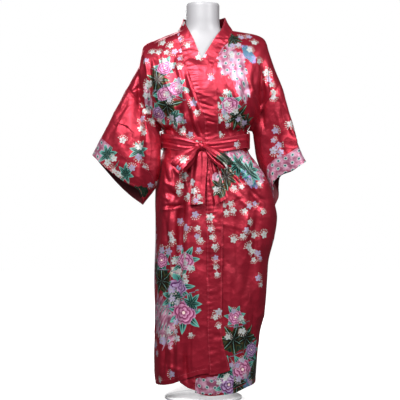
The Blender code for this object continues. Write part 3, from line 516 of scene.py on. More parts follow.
BACK_CREASES = table("x0 z0 x1 z1 out width bow", [
    (-80, 1000, -62, 884, -3.2, 6, 3),
    (-58, 980, -44, 884, 2.8, 5.5, 2),
    (-34, 1010, -28, 884, -3.0, 6, 3),
    (-8, 970, -8, 884, 2.6, 5.5, 1),
    (20, 1005, 16, 884, -2.8, 6, -2),
    (46, 975, 38, 884, 2.6, 5, -2),
    (74, 1000, 60, 884, -3.2, 6, -3),
    (102, 980, 84, 884, 2.6, 5.5, -3),
    (-104, 970, -86, 884, 2.6, 5.5, 2),
    (-126, 990, -108, 888, -2.8, 6, 3),
    (128, 985, 112, 888, -2.6, 6, -3),
    (150, 970, 140, 890, 2.4, 5, -2),
    (-60, 1200, -92, 1090, 1.8, 8, -6),
    (64, 1204, 98, 1100, -1.8, 8, 6),
    (-20, 1150, -34, 1050, 1.5, 8, 4),
    (30, 1150, 40, 1040, -1.5, 8, 4),
    (-120, 1160, -150, 1060, 2.0, 8, -5),
    (124, 1170, 152, 1060, 2.0, 8, 5),
    (-204, 1150, -206, 1040, 3.0, 6, 2),
    (-184, 1130, -176, 1000, -2.6, 6, 3),
    (-214, 1060, -208, 940, -2.8, 6, 2),
    (206, 1150, 214, 1030, 3.0, 6, 2),
    (186, 1120, 182, 990, -2.6, 6, -3),
    (220, 1080, 222, 960, -2.6, 6, 2),
    (-240, 1040, -300, 940, 1.8, 6, 8),
    (-226, 980, -290, 860, -2.0, 6, -7),
    (-256, 930, -318, 830, 1.8, 5, 6),
    (-216, 880, -262, 770, 2.2, 6, 5),
    (250, 1040, 290, 940, -1.8, 6, 6),
    (240, 970, 276, 860, 2.0, 6, -6),
    (270, 930, 310, 820, -1.8, 5, 6),
    (230, 860, 262, 760, 2.0, 6, 4),
    (-70, 838, -96, 720, -2.4, 6, 4),
    (-46, 838, -58, 700, 2.4, 6, 4),
    (-18, 836, -26, 680, -2.2, 6, 3),
    (12, 836, 14, 700, 2.2, 6, 2),
    (40, 838, 52, 690, -2.4, 6, -4),
    (70, 836, 92, 700, 2.4, 6, -4),
    (100, 838, 138, 720, -2.6, 6, -5),
    (-104, 836, -128, 720, 2.2, 6, 4),
    (-120, 700, -140, 640, -1.8, 5, 3),
    (-90, 690, -20, 676, 1.6, 4, 5),
    (20, 660, 96, 676, -1.6, 4, -5),
    (60, 650, 130, 690, 1.5, 4, 5),
    (-110, 600, -118, 420, 1.8, 8, 4),
    (-56, 560, -62, 380, -1.8, 8, 4),
    (4, 580, 2, 360, 1.8, 8, 4),
    (60, 560, 66, 360, -1.8, 8, -4),
    (120, 560, 134, 380, 1.8, 8, -4),
    (170, 520, 172, 360, -1.8, 8, 3),
    (-126, 340, -130, 120, -1.8, 8, 3),
    (-70, 320, -74, 100, 1.8, 8, 3),
    (-14, 300, -16, 90, -1.8, 8, 3),
    (44, 320, 46, 100, 1.8, 8, 3),
    (100, 300, 104, 90, -1.8, 8, 3),
    (150, 280, 148, 100, 1.6, 8, 3),
])
# Lengthways folds of the sash around the waist: level, start and end as angles, height and half width
BELT_FOLDS = table("level start end out width", [
    (0.45, -1.5, 0.2, 1.8, 0.16),
    (-0.1, -1.2, 0.3, -1.6, 0.14),
    (-0.55, -1.6, 0.1, 1.3, 0.15),
    (0.15, 0.0, 1.3, 1.4, 0.15),
    (-0.45, -0.1, 0.7, -1.3, 0.16),
    (0.6, 0.1, 0.9, -1.2, 0.14),
    (0.1, 1.8, 3.0, 1.4, 0.16),
    (-0.4, 1.6, 2.6, -1.2, 0.16),
    (0.3, -3.0, -1.8, 1.5, 0.16),
    (-0.3, -2.8, -1.9, -1.3, 0.16),
])
# Folds down the loops and tails: place across, slant, height and half width
LOOP_FOLDS = {
    "bow_loop_right": [(-0.35, 0.3, 2.6, 0.22), (0.3, -0.2, -2.2, 0.2), (0.8, -0.2, 1.6, 0.16)],
    "bow_loop_left": [(0.3, -0.25, 2.4, 0.22), (-0.3, 0.2, -2.0, 0.2), (-0.8, 0.2, 1.4, 0.16)],
}
TAIL_FOLDS = {
    "belt_tail_right": [(-0.2, -0.35, 2.2, 0.2), (0.35, 0.2, -1.8, 0.18), (0.1, 0.5, 1.2, 0.15)],
    "belt_tail_left": [(0.2, 0.3, 2.0, 0.22), (-0.3, -0.2, -1.6, 0.2)],
}
TAIL_LIFT = {"belt_tail_right": 14.0, "belt_tail_left": 8.0}
TAIL_SLANT = {"belt_tail_right": 6.0, "belt_tail_left": 26.0}

# The print. Blossom sprays: first blossom, front (-1) or back (1), direction, length, bend and count
SPRAYS = table("x z face turn length bend count on", [
    (-150, 1190, -1, -50, 110, 0.9, 6, PANEL),
    (-112, 1205, -1, -80, 90, -0.8, 4, PANEL),
    (-66, 1090, -1, -120, 100, 0.8, 4, PANEL),
    (-38, 1010, -1, -60, 70, 1.0, 3, PANEL),
    (-186, 1080, -1, -95, 130, 0.4, 6, PANEL),
    (-120, 965, -1, -30, 70, 0.8, 3, PANEL),
    (-204, 985, -1, -85, 90, 0.6, 4, PANEL),
    (-214, 868, -1, -80, 110, -0.5, 5, PANEL),
    (-250, 870, -1, 210, 60, 0.5, 3, PANEL),
    (64, 1040, -1, -85, 130, -0.5, 6, PANEL),
    (96, 990, -1, -60, 90, 0.7, 4, PANEL),
    (108, 1225, -1, -20, 90, -0.6, 4, PANEL),
    (214, 1120, -1, -75, 110, 0.4, 5, PANEL),
    (238, 930, -1, -80, 120, 0.3, 6, PANEL),
    (268, 900, -1, -95, 90, 0.6, 4, PANEL),
    (-100, 735, -1, 20, 60, 0.8, 3, PANEL),
    (-66, 620, -1, -85, 190, 0.5, 9, PANEL),
    (-38, 640, -1, -80, 150, -0.4, 7, PANEL),
    (-30, 470, -1, -110, 70, 0.6, 3, PANEL),
    (-96, 700, -1, -20, 60, 0.6, 3, PANEL),
    (-100, 1090, -1, -60, 80, 0.6, 4, PANEL),
    (-66, 1040, -1, -20, 50, 0.6, 2, PANEL),
    (60, 640, -1, 10, 120, 0.5, 6, PANEL),
    (172, 560, -1, -100, 90, 0.5, 4, PANEL),
    (-34, 716, -1, -85, 70, 0.5, 4, SASH),
    (-18, 700, -1, -85, 50, 0.5, 3, SASH),
    (-120, 560, -1, -40, 60, 0.6, 3, PANEL),
    (86, 700, -1, 10, 110, -0.8, 5, PANEL),
    (70, 610, -1, 15, 130, -0.6, 6, PANEL),
    (150, 590, -1, -70, 120, 0.7, 5, PANEL),
    (76, 540, -1, 20, 50, 0.6, 2, PANEL),
    (176, 430, -1, -60, 70, 0.8, 3, PANEL),
    (-130, 250, -1, -20, 90, 0.8, 4, PANEL),
    (96, 330, -1, -60, 60, 0.8, 2, PANEL),
    (150, 240, -1, 200, 90, 0.6, 4, PANEL),
    (50, 120, -1, 10, 80, 0.6, 4, PANEL),
    (-120, 1180, 1, -60, 140, 0.7, 7, PANEL),
    (60, 1190, 1, -110, 160, 0.8, 8, PANEL),
    (-40, 1080, 1, -70, 120, -0.8, 6, PANEL),
    (130, 1060, 1, -95, 110, 0.6, 5, PANEL),
    (-160, 1000, 1, -80, 90, 0.6, 4, PANEL),
    (20, 960, 1, -20, 80, 0.8, 4, PANEL),
    (-230, 940, 1, -75, 130, 0.5, 6, PANEL),
    (240, 960, 1, -85, 130, 0.5, 6, PANEL),
    (-70, 780, 1, -70, 170, 0.8, 8, PANEL),
    (70, 740, 1, -100, 150, -0.7, 7, PANEL),
    (0, 620, 1, 200, 110, 0.8, 5, PANEL),
    (130, 560, 1, -80, 140, 0.6, 6, PANEL),
    (-120, 500, 1, -70, 160, 0.7, 7, PANEL),
    (10, 400, 1, -20, 120, 0.8, 5, PANEL),
    (100, 300, 1, -120, 110, 0.8, 5, PANEL),
    (-70, 240, 1, -30, 110, 0.8, 5, PANEL),
    (-84, 1236, -1, 60, 70, 0.4, 3, BAND),
    (-36, 1150, -1, 20, 30, 0.4, 1, BAND),
    (4, 1132, -1, 160, 30, 0.4, 1, BAND),
    (14, 1068, -1, 40, 30, 0.8, 2, BAND),
    (30, 630, -1, -85, 110, 0.6, 5, BAND),
    (40, 500, -1, -80, 70, 0.6, 3, BAND),
    (48, 300, -1, -80, 40, 0.6, 1, BAND),
    (78, 858, -1, 0, 30, 0.4, 1, SASH),
    (-30, 744, -1, -80, 66, 0.8, 4, SASH),
    (40, 740, -1, -70, 40, 0.6, 2, SASH),
    (-58, 800, -1, -120, 50, 0.8, 3, SASH),
    (60, 800, -1, -60, 50, 0.8, 3, SASH),
    (-270, 758, -1, 200, 30, 0.5, 2, CUFF),
])
# Where more sprays are strewn: middle, side, half sizes and how many
SPRAY_ZONES = table("x z face wide high count on", [
    (-118, 1196, -1, 48, 26, 4, PANEL),
    (-130, 950, -1, 45, 40, 2, PANEL),
    (58, 970, -1, 26, 50, 3, PANEL),
    (160, 1205, -1, 50, 22, 3, PANEL),
    (262, 930, -1, 30, 80, 3, PANEL),
    (-192, 900, -1, 26, 90, 3, PANEL),
    (120, 690, -1, 66, 30, 2, PANEL),
    (-72, 560, -1, 30, 100, 4, PANEL),
    (150, 590, -1, 46, 30, 2, PANEL),
    (-100, 300, -1, 50, 100, 3, PANEL),
    (110, 160, -1, 60, 60, 3, PANEL),
    (-120, 120, -1, 40, 50, 2, PANEL),
    (-280, 800, -1, 34, 26, 5, CUFF),
    (40, 560, -1, 12, 110, 4, BAND),
    (52, 250, -1, 12, 110, 2, BAND),
    (-76, 1215, -1, 12, 34, 3, BAND),
    (0, 1180, 1, 150, 50, 9, PANEL),
    (-80, 1050, 1, 90, 70, 6, PANEL),
    (110, 1000, 1, 80, 70, 6, PANEL),
    (-40, 720, 1, 110, 70, 8, PANEL),
    (60, 540, 1, 90, 80, 6, PANEL),
    (-60, 300, 1, 90, 110, 7, PANEL),
    (100, 200, 1, 70, 90, 5, PANEL),
    (-250, 880, 1, 40, 110, 5, PANEL),
    (256, 900, 1, 40, 110, 5, PANEL),
])
PEONIES = table("x z face radius turn tint on", [
    (-130, 1110, -1, 27, 20, 0.2, PANEL),
    (-154, 1068, -1, 30, 50, 1.8, PANEL),
    (-120, 985, -1, 32, 10, 1.8, PANEL),
    (-96, 944, -1, 24, 70, 1.2, PANEL),
    (98, 1212, -1, 24, 30, 1.8, PANEL),
    (112, 946, -1, 28, 0, 1.8, PANEL),
    (140, 930, -1, 22, 40, 1.8, PANEL),
    (72, 752, -1, 30, 20, 1.8, PANEL),
    (150, 768, -1, 30, 60, 1.2, PANEL),
    (116, 790, -1, 26, 10, 1.2, PANEL),
    (-140, 404, -1, 30, 40, 1.8, PANEL),
    (-100, 350, -1, 30, 10, 1.2, PANEL),
    (-40, 330, -1, 26, 50, 1.2, PANEL),
    (96, 210, -1, 34, 20, 1.8, PANEL),
    (140, 216, -1, 30, 60, 1.8, PANEL),
    (70, 110, -1, 30, 30, 1.2, PANEL),
    (110, 60, -1, 30, 10, 1.8, PANEL),
    (170, 90, -1, 28, 10, 1.8, PANEL),
    (-214, 836, -1, 22, 10, 1.2, PANEL),
    (-60, 1000, 1, 32, 20, 1.8, PANEL),
    (110, 1100, 1, 30, 50, 1.2, PANEL),
    (-90, 600, 1, 32, 10, 1.8, PANEL),
    (20, 480, 1, 30, 40, 1.2, PANEL),
    (-20, 240, 1, 34, 10, 1.8, PANEL),
    (120, 140, 1, 34, 30, 1.8, PANEL),
    (52, 716, -1, 22, 30, 1.8, SASH),
    (-262, 762, -1, 22, 30, 1.2, CUFF),
    (-322, 826, -1, 24, 10, 1.2, CUFF),
    (-128, 1020, -1, 30, 80, 0.3, PANEL),
    (-92, 1040, -1, 26, 150, 0.2, PANEL),
    (-150, 960, -1, 26, 40, 0.7, PANEL),
    (84, 985, -1, 28, 40, 0.2, PANEL),
    (-62, 470, -1, 32, 10, 0.3, PANEL),
    (-66, 300, -1, 42, 60, 0.2, PANEL),
    (-74, 384, -1, 30, 110, 0.8, PANEL),
    (-140, 470, -1, 26, 30, 0.2, PANEL),
    (104, 282, -1, 26, 70, 0.2, PANEL),
    (130, 110, -1, 38, 20, 0.3, PANEL),
    (84, 62, -1, 34, 100, 0.7, PANEL),
    (160, 170, -1, 26, 50, 0.8, PANEL),
    (-90, 1110, 1, 34, 30, 0.2, PANEL),
    (40, 1060, 1, 30, 100, 0.3, PANEL),
    (100, 980, 1, 30, 10, 0.8, PANEL),
    (-40, 640, 1, 38, 50, 0.3, PANEL),
    (60, 560, 1, 32, 120, 0.2, PANEL),
    (-110, 330, 1, 34, 80, 0.8, PANEL),
    (70, 180, 1, 42, 10, 0.2, PANEL),
    (-30, 130, 1, 34, 60, 0.3, PANEL),
    (-214, 790, 1, 28, 60, 0.2, PANEL),
    (250, 840, 1, 28, 20, 0.3, PANEL),
])
# Patches of ground colour: middle, side, half sizes, turn and colour, where 0 is leaf green, 1 dotted
# mauve, 2 stone and 3 violet
PATCHES = table("x z face wide high turn colour on", [
    (-142, 1006, -1, 16, 46, 20, 0, PANEL),
    (-158, 1084, -1, 12, 34, 5, 0, PANEL),
    (-104, 962, -1, 14, 36, 30, 2, PANEL),
    (-186, 1010, -1, 12, 46, 5, 1, PANEL),
    (96, 1128, -1, 46, 62, 24, 1, PANEL),
    (128, 1050, -1, 24, 56, 14, 1, PANEL),
    (150, 1160, -1, 16, 34, 30, 3, PANEL),
    (122, 936, -1, 20, 16, -30, 0, PANEL),
    (110, 812, -1, 66, 34, -24, 1, PANEL),
    (64, 776, -1, 26, 40, 10, 2, PANEL),
    (176, 770, -1, 20, 40, 30, 1, PANEL),
    (72, 730, -1, 18, 20, 20, 0, PANEL),
    (150, 752, -1, 18, 44, 34, 3, PANEL),
    (-170, 500, -1, 12, 130, 0, 1, PANEL),
    (-140, 424, -1, 22, 56, 10, 0, PANEL),
    (-92, 430, -1, 16, 24, 30, 2, PANEL),
    (-132, 270, -1, 34, 84, 10, 1, PANEL),
    (-104, 330, -1, 14, 30, 30, 3, PANEL),
    (118, 198, -1, 56, 26, 15, 0, PANEL),
    (124, 232, -1, 26, 12, -20, 2, PANEL),
    (20, 60, -1, 70, 30, 0, 1, PANEL),
    (130, 80, -1, 36, 40, 0, 3, PANEL),
    (168, 120, -1, 12, 46, 0, 0, PANEL),
    (-100, 1060, 1, 50, 30, 30, 0, PANEL),
    (60, 1120, 1, 60, 34, -20, 1, PANEL),
    (0, 1000, 1, 40, 24, 10, 2, PANEL),
    (-80, 560, 1, 40, 80, 10, 1, PANEL),
    (80, 640, 1, 50, 30, 20, 3, PANEL),
    (-20, 200, 1, 80, 30, 0, 0, PANEL),
    (110, 120, 1, 40, 60, 0, 1, PANEL),
    (-216, 700, -1, 30, 20, 0, 0, CUFF),
    (60, 782, -1, 16, 26, 0, 2, SASH),
    (46, 740, -1, 16, 26, 0, 1, SASH),
    (56, 700, -1, 16, 20, 0, 0, SASH),
    (64, 800, -1, 30, 24, 0, 0, SASH),
    (40, 716, 1, 40, 50, 0, 0, SASH),
])


def ease(value, low, high):
    """0 below low, 1 above high and a smooth step between; low may be the larger one."""
    share = np.clip((np.asarray(value, float) - low) / (high - low), 0, 1)
    return share * share * (3 - 2 * share)


def through(at, places, values):
    """A smooth curve through the values, without overshoot."""
    step = np.diff(places)
    slope = np.diff(values) / step
    bend = np.zeros(len(places))
    bend[0], bend[-1] = slope[0], slope[-1]
    same = slope[:-1] * slope[1:] > 0
    before, after = 2 * step[1:] + step[:-1], step[1:] + 2 * step[:-1]
    with np.errstate(divide="ignore", invalid="ignore"):
        mean = (before + after) / (before / slope[:-1] + after / slope[1:])
    bend[1:-1] = np.where(same, mean, 0)
    at = np.clip(at, places[0], places[-1])
    i = np.clip(np.searchsorted(places, at, side="right") - 1, 0, len(step) - 1)
    t = (at - places[i]) / step[i]
    start, end = values[i], values[i + 1]
    return (
        start * (1 + 2 * t) * (1 - t) ** 2
        + end * t * t * (3 - 2 * t)
        + step[i] * t * (1 - t) * (bend[i] * (1 - t) - bend[i + 1] * t)
    )


def read(rows, key, column, at):
    return through(at, rows[key], rows[column])


def read_sides(rows, key, at, first, columns=("front", "back")):
    """One column of a table where first holds, and the other elsewhere."""
    return np.where(first, *(read(rows, key, column, at) for column in columns))


def unit(vectors):
    """Vectors brought to length 1."""
    return vectors / np.maximum(np.linalg.norm(vectors, axis=-1, keepdims=True), TINY)


def lengths(points):
    """How far along a line each of its points lies."""
    return np.concatenate([[0], np.cumsum(np.linalg.norm(np.diff(points, axis=0), axis=1))])


def points_of(curve):
    return np.stack([curve["x"], curve["y"], curve["z"]], axis=1)


def along(curve, share):
    """Points at shares of the length of a curve given as x, y and z."""
    points = points_of(curve)
    length = lengths(points)
    at = np.asarray(share, float) * length[-1]
    return np.stack([through(at, length, points[:, i]) for i in range(3)], axis=-1)


def power(value, exponent):
    return np.sign(value) * np.abs(value) ** exponent


def fold_height(x, z, folds, before=0.05, full=0.22):
    """The height of folds at places in the front view. A fold starts before its end and is full after
    it, both as shares of its length; where the table has a bow, it bends the fold sideways."""
    height = np.zeros(np.broadcast(x, z).shape)
    for x0, z0, x1, z1, out, width, *bow in zip(*folds.values()):
        run = np.array([x1 - x0, z1 - z0])
        length = np.hypot(*run)
        share = ((x - x0) * run[0] + (z - z0) * run[1]) / length**2
        aside = ((x - x0) * run[1] - (z - z0) * run[0]) / length
        if bow:
            aside = aside - bow[0] * 4 * np.clip(share, 0, 1) * (1 - np.clip(share, 0, 1))
        ends = ease(share, -before, full) * ease(share, 1 + before, 1 - full)
        height = height + out * ends * np.exp(-((aside / width) ** 2))
    return height


def belt_z(theta):
    """The height of the belt's middle around the body; theta is 0 in front and grows to the right."""
    return BELT_SIDE_Z - BELT_SAG * np.clip(np.cos(theta), 0, 1) ** 3


def section(theta, z):
    """Half width and half depth of the robe's section."""
    level = z + (BELT_SIDE_Z - belt_z(theta)) * ease(z, 700, 820)
    half = read_sides(BODY, "z", level, np.sin(theta) < 0, ("left", "right"))
    return half, read_sides(BODY, "z", level, np.cos(theta) > 0)


def tube(theta, z, layer=0.0):
    """A point of the robe below the waist, moved out by a layer's height and by its folds."""
    theta, z, layer = np.broadcast_arrays(np.asarray(theta, float), z, layer)
    half, deep = section(theta, z)
    x = half * power(np.sin(theta), 2 / SECTION_POWER)
    y = -deep * power(np.cos(theta), 2 / SECTION_POWER)
    nx = power(x / half, SECTION_POWER - 1) / half
    ny = power(y / deep, SECTION_POWER - 1) / deep
    size = np.hypot(nx, ny)
    folds = np.where(np.cos(theta) > 0, fold_height(x, z, FRONT_FOLDS), fold_height(x, z, BACK_FOLDS))
    folds = folds * ease(np.abs(np.cos(theta)), 0.02, 0.35) * ease(np.abs(z - belt_z(theta)), WAIST_TOP, 75)
    out = layer + folds
    return np.stack([x + nx / size * out, y + ny / size * out, z], axis=-1)


def theta_at(x, z):
    """The angle in front at which the section passes x."""
    theta = np.zeros(np.broadcast(x, z).shape)
    for _ in range(3):
        half, _ = section(np.where(x < 0, -0.01, 0.01) + theta, z)
        theta = np.sign(x) * np.arcsin(np.clip(np.abs(x) / half, 0, 1) ** (SECTION_POWER / 2))
    return theta


def waist_top(theta):
    return belt_z(theta) + WAIST_TOP


def form_depth(x, z, column):
    """How far the dress form reaches forwards or backwards at x and z."""
    half = read(FORM, "z", "half", z - FORM_RISE) + FORM_CLEARANCE
    inside = np.clip(1 - np.abs((x - NECK_X) / half) ** SECTION_POWER, 0, 1)
    deep = read(FORM, "z", column, z - FORM_RISE) + FORM_CLEARANCE
    return deep * inside ** (1 / SECTION_POWER)


def over_form(points, column):
    """Moves cloth that would lie inside the dress form out onto it."""
    sign = -1 if column == "front" else 1
    cloth = points[..., 1] * sign
    form = form_depth(points[..., 0], points[..., 2], column)
    form = np.where(form > 1, form, -99)
    near = np.clip(8 - np.abs(cloth - form), 0, None)
    out = points.copy()
    out[..., 1] = sign * (np.maximum(cloth, form) + near**2 / 32)
    return out


def middle(points, column):
    """Holds cloth near the middle of the chest or back to one depth, so that layers nest."""
    x, y, z = (points[..., i] for i in range(3))
    sign = -1 if column == "front" else 1
    width = np.clip(1 - np.abs(x / CHEST_HALF) ** SECTION_POWER, 0, 1) ** (1 / SECTION_POWER)
    chest = read(CHEST, "z", column, z) * width
    theta = theta_at(x, z)
    half, deep = section(theta if column == "front" else math.pi - theta, z)
    waist = deep * np.clip(1 - np.abs(x / half) ** SECTION_POWER, 0, 1) ** (1 / SECTION_POWER)
    depth = waist + (chest - waist) * ease(z, *CHEST_START)
    share = ease(np.abs(x), *CHEST_SIDE) * ease(z, *(CHEST_TOP if column == "front" else BACK_TOP))
    out = points.copy()
    out[..., 1] = y + (sign * depth - y) * share
    return out


def sleeve_edges(side, s):
    """The folded top and the seam below; the seam below starts at the top of the side seam."""
    top = along(SLEEVE_TOP[side], s)
    turn = -math.pi / 2 if side == "left" else math.pi / 2
    underarm = tube(turn, waist_top(turn))
    rows = {key: np.concatenate([[underarm[i]], SLEEVE_BELOW[side][key]]) for i, key in enumerate("xyz")}
    return top, along(rows, s)


def sleeve(side, s, phi, folds=True):
    """A point of the sleeve: phi runs 0 to 1 down the front and 1 to 2 up the back."""
    s, phi = np.broadcast_arrays(np.asarray(s, float), np.asarray(phi, float))
    top, below = sleeve_edges(side, s)
    turn = np.cos(math.pi * phi)
    lens = ease(np.minimum(phi, 2 - phi), 0.45, 0.8) * (1 - 0.6 * s)
    w = (0.5 - 0.5 * power(turn, SLEEVE_POWER)) * (1 - lens) + np.minimum(phi, 2 - phi) * lens
    round_end = np.abs(np.sin(math.pi * phi))
    swell = round_end**SLEEVE_POWER * (1 - lens) + round_end**0.9 * lens
    front = phi <= 1
    depth = np.where(front, -1, 1) * read_sides(SLEEVE_DEPTH[side], "s", s, front)
    points = top + (below - top) * w[..., None]
    run = (below - top)[..., [2, 0]] * np.array([1, -1]) * (1 if side == "left" else -1)
    run = unit(run)
    tilt = read_sides(CUFF_TILT[side], "w", w, front) * ease(s, 0.05, 0.72)
    points[..., 0] += run[..., 0] * tilt
    points[..., 2] += run[..., 1] * tilt
    points[..., 1] += depth * swell
    if folds:
        x, z = points[..., 0], points[..., 2]
        height = np.where(front, -fold_height(x, z, FRONT_FOLDS), fold_height(x, z, BACK_FOLDS))
        points[..., 1] += height * np.abs(np.sin(math.pi * phi)) * ease(s, 1.3, 0.7)
    return points


def coons(inner, outer, top, bottom, u, t):
    """A patch between four curves: inner and outer over t, top and bottom over u."""
    u, t = u[None, :, None], t[:, None, None]
    sides = inner[:, None] * (1 - u) + outer[:, None] * u
    ends = top[None] * (1 - t) + bottom[None] * t
    corners = (top[0] * (1 - u) + top[-1] * u) * (1 - t) + (bottom[0] * (1 - u) + bottom[-1] * u) * t
    return sides + ends - corners


def lapel(points):
    """1 where the front on top lies over the other on the chest, and 0 beside and above that."""
    return ease(points[..., 0], *LAPEL_SIDE) * ease(points[..., 2], *CHEST_TOP)


def blouse(rise, t, column):
    """How far the cloth bags out over the belt; rise is the height over the belt's middle."""
    bag = BLOUSE[column] * np.exp(-(((rise - BLOUSE_RISE) / BLOUSE_SPREAD) ** 2))
    return bag * ease(t, 0.99, 0.94)[:, None]


def fold_over(points, share, column):
    """Adds the folds of a bodice patch, which fade at the shoulder line."""
    sign, folds = (-1, FRONT_FOLDS) if column == "front" else (1, BACK_FOLDS)
    out = points.copy()
    out[..., 1] += sign * fold_height(points[..., 0], points[..., 2], folds) * share
    return out


def front_curve(rows, z, neck):
    """An edge of a front band: x from the heights below the neck, depth from the chest."""
    x = read(rows, "z", "x", z)
    low = middle(np.stack([x, np.zeros_like(x), z], axis=-1), "front")
    high = np.stack([x, read_down(neck, "y", z), z], axis=-1)
    share = ease(z, 1136, 1100)[:, None]
    return high + (low - high) * share


def read_down(curve, column, z):
    """A column of a neck curve's front part against height."""
    front = curve["y"] <= 3
    return through(z, curve["z"][front][::-1], curve[column][front][::-1])


def edge_points(side, kind, share):
    """Points of a band's seam or free edge from the middle of the neck's back to the waist's top."""
    neck = (NECK_SEAM if kind == "seam" else NECK_EDGE)[side]
    rows = (BAND_SEAM if kind == "seam" else BAND_EDGE)[side]
    upper = NECK_SHARE
    points = np.zeros((len(share), 3))
    is_neck = share <= upper
    points[is_neck] = along(neck, share[is_neck] / upper)
    start = neck["z"][-1]
    end = edge_waist(rows)
    z = start + (end - start) * (share[~is_neck] - upper) / (1 - upper)
    points[~is_neck] = front_curve(rows, z, neck)
    return points


def edge_waist(rows):
    """The height at which a band's edge reaches the top of the waist."""
    z = waist_top(0.0)
    for _ in range(4):
        z = waist_top(theta_at(read(rows, "z", "x", z), z))
    return float(z)


def edge_angle(rows, z):
    return theta_at(read(rows, "z", "x", z), z)


def shoulder_share(side):
    """The share of a band's length at which its seam meets the shoulder line."""
    length = lengths(points_of(NECK_SEAM[side]))
    return NECK_SHARE * length[SHOULDER_POINT] / length[-1]


def even_chest(points, passes):
    """Evens out the depth of the cloth down its columns where the neck's curve meets the chest."""
    depth = points[..., 1].copy()
    for _ in range(passes):
        depth[1:-1] = (depth[:-2] + 2 * depth[1:-1] + depth[2:]) / 4
    share = ease(points[..., 2], *EVEN_FROM) * ease(points[..., 2], *EVEN_TO)
    out = points.copy()
    out[..., 1] += (depth - out[..., 1]) * share
    return out


def front_layer(side, theta):
    """The front that lies on top is moved out where it crosses the other."""
    return TOP_LAYER * ease(theta, -1.35, -0.8) if side == "left" else np.zeros_like(theta)


def front_panel(side, columns):
    """Points of one front, from the shoulder to the hem."""
    sign = -1 if side == "left" else 1
    u, t = np.linspace(0, 1, columns), ROW_SHARES
    start = shoulder_share(side)
    inner = edge_points(side, "seam", start + (1 - start) * t)
    outer = sleeve(side, 0.0, t, folds=False)
    top = along(SHOULDER[side], u)
    z = edge_waist(BAND_SEAM[side])
    seam_theta = edge_angle(BAND_SEAM[side], z)
    theta = seam_theta + (sign * math.pi / 2 - seam_theta) * u
    bottom = tube(theta, waist_top(theta))
    inner[-1] = bottom[0]
    patch = coons(inner, outer, top, bottom, u, t)
    patch = middle(patch, "front")
    layer = front_layer(side, 0.0) * lapel(patch)
    fade = (1 - u)[None] * ease(t, 0, 0.12)[:, None] + u[None] * np.abs(np.sin(math.pi * t))[:, None]
    theta_here = theta_at(np.clip(patch[..., 0], -120, 120), patch[..., 2])
    fade = fade * ease(patch[..., 2] - belt_z(theta_here), WAIST_TOP, 60)
    patch = fold_over(patch, fade, "front")
    bag = blouse(patch[..., 2] - belt_z(theta_here), t, "front")
    patch[..., 1] -= bag * ease(np.abs(patch[..., 0]), 58, 92) * ease(u, 1, 0.8)[None]
    patch = over_form(even_chest(over_form(patch, "front"), FRONT_PASSES), "front")
    patch[..., 1] -= layer
    rows = SKIRT_SHARES[1:, None] * np.ones(columns)
    hem = HEM[side]
    lowest = tube(theta, np.full(columns, HEM_GUIDE_Z))[:, 0]
    hem_z = read(hem, "x", "z", lowest)
    top_z = waist_top(theta)
    z = top_z + (hem_z - top_z) * rows
    inner_theta = edge_angle(BAND_SEAM[side], z)
    angle = inner_theta + (sign * math.pi / 2 - inner_theta) * u[None]
    skirt = tube(angle, z, front_layer(side, angle))
    patch[-1] = tube(theta, top_z, front_layer(side, theta))
    return np.concatenate([patch, skirt])


def back_panel(columns):
    """Points of the back, from the neck and shoulders to the hem, left to right as seen in front."""
    u, t = np.linspace(0, 1, columns), ROW_SHARES
    left = sleeve("left", 0.0, 2 - t, folds=False)
    right = sleeve("right", 0.0, 2 - t, folds=False)
    span = SHOULDER_SPAN
    inside = np.clip((u - span) / (1 - 2 * span), 0, 1)
    top = np.zeros((columns, 3))
    for name, from_side, across in (("left", u, 1 - 2 * inside), ("right", 1 - u, 2 * inside - 1)):
        neck_share = shoulder_share(name) / NECK_SHARE
        on_neck = (from_side >= span) & (from_side <= 0.5)
        top[on_neck] = along(NECK_SEAM[name], neck_share * np.clip(across, 0, 1))[on_neck]
        on_shoulder = from_side < span
        top[on_shoulder] = along(SHOULDER[name], 1 - np.clip(from_side / span, 0, 1))[on_shoulder]
    theta = -math.pi / 2 - math.pi * u
    bottom = tube(theta, waist_top(theta))
    patch = coons(left, right, top, bottom, u, t)
    patch = middle(patch, "back")
    side = np.sin(math.pi * u) ** 0.5
    fade = side[None] * ease(t, 0, 0.12)[:, None]
    fade = fade + (1 - side)[None] * np.abs(np.sin(math.pi * t))[:, None]
    fade = fade * ease(patch[..., 2] - BELT_SIDE_Z, WAIST_TOP, 60)
    patch = fold_over(patch, fade, "back")
    patch[..., 1] += blouse(patch[..., 2] - BELT_SIDE_Z, t, "back") * side[None]
    patch = over_form(patch, "back")
    patch[0] = top
    patch[-1] = bottom
    rows = SKIRT_SHARES[1:, None] * np.ones(columns)
    lowest = tube(theta, np.full(columns, HEM_GUIDE_Z))[:, 0]
    top_z = waist_top(theta)
    z = top_z + (read(HEM["back"], "x", "z", lowest) - top_z) * rows
    return np.concatenate([patch, tube(theta + 0 * z, z)])


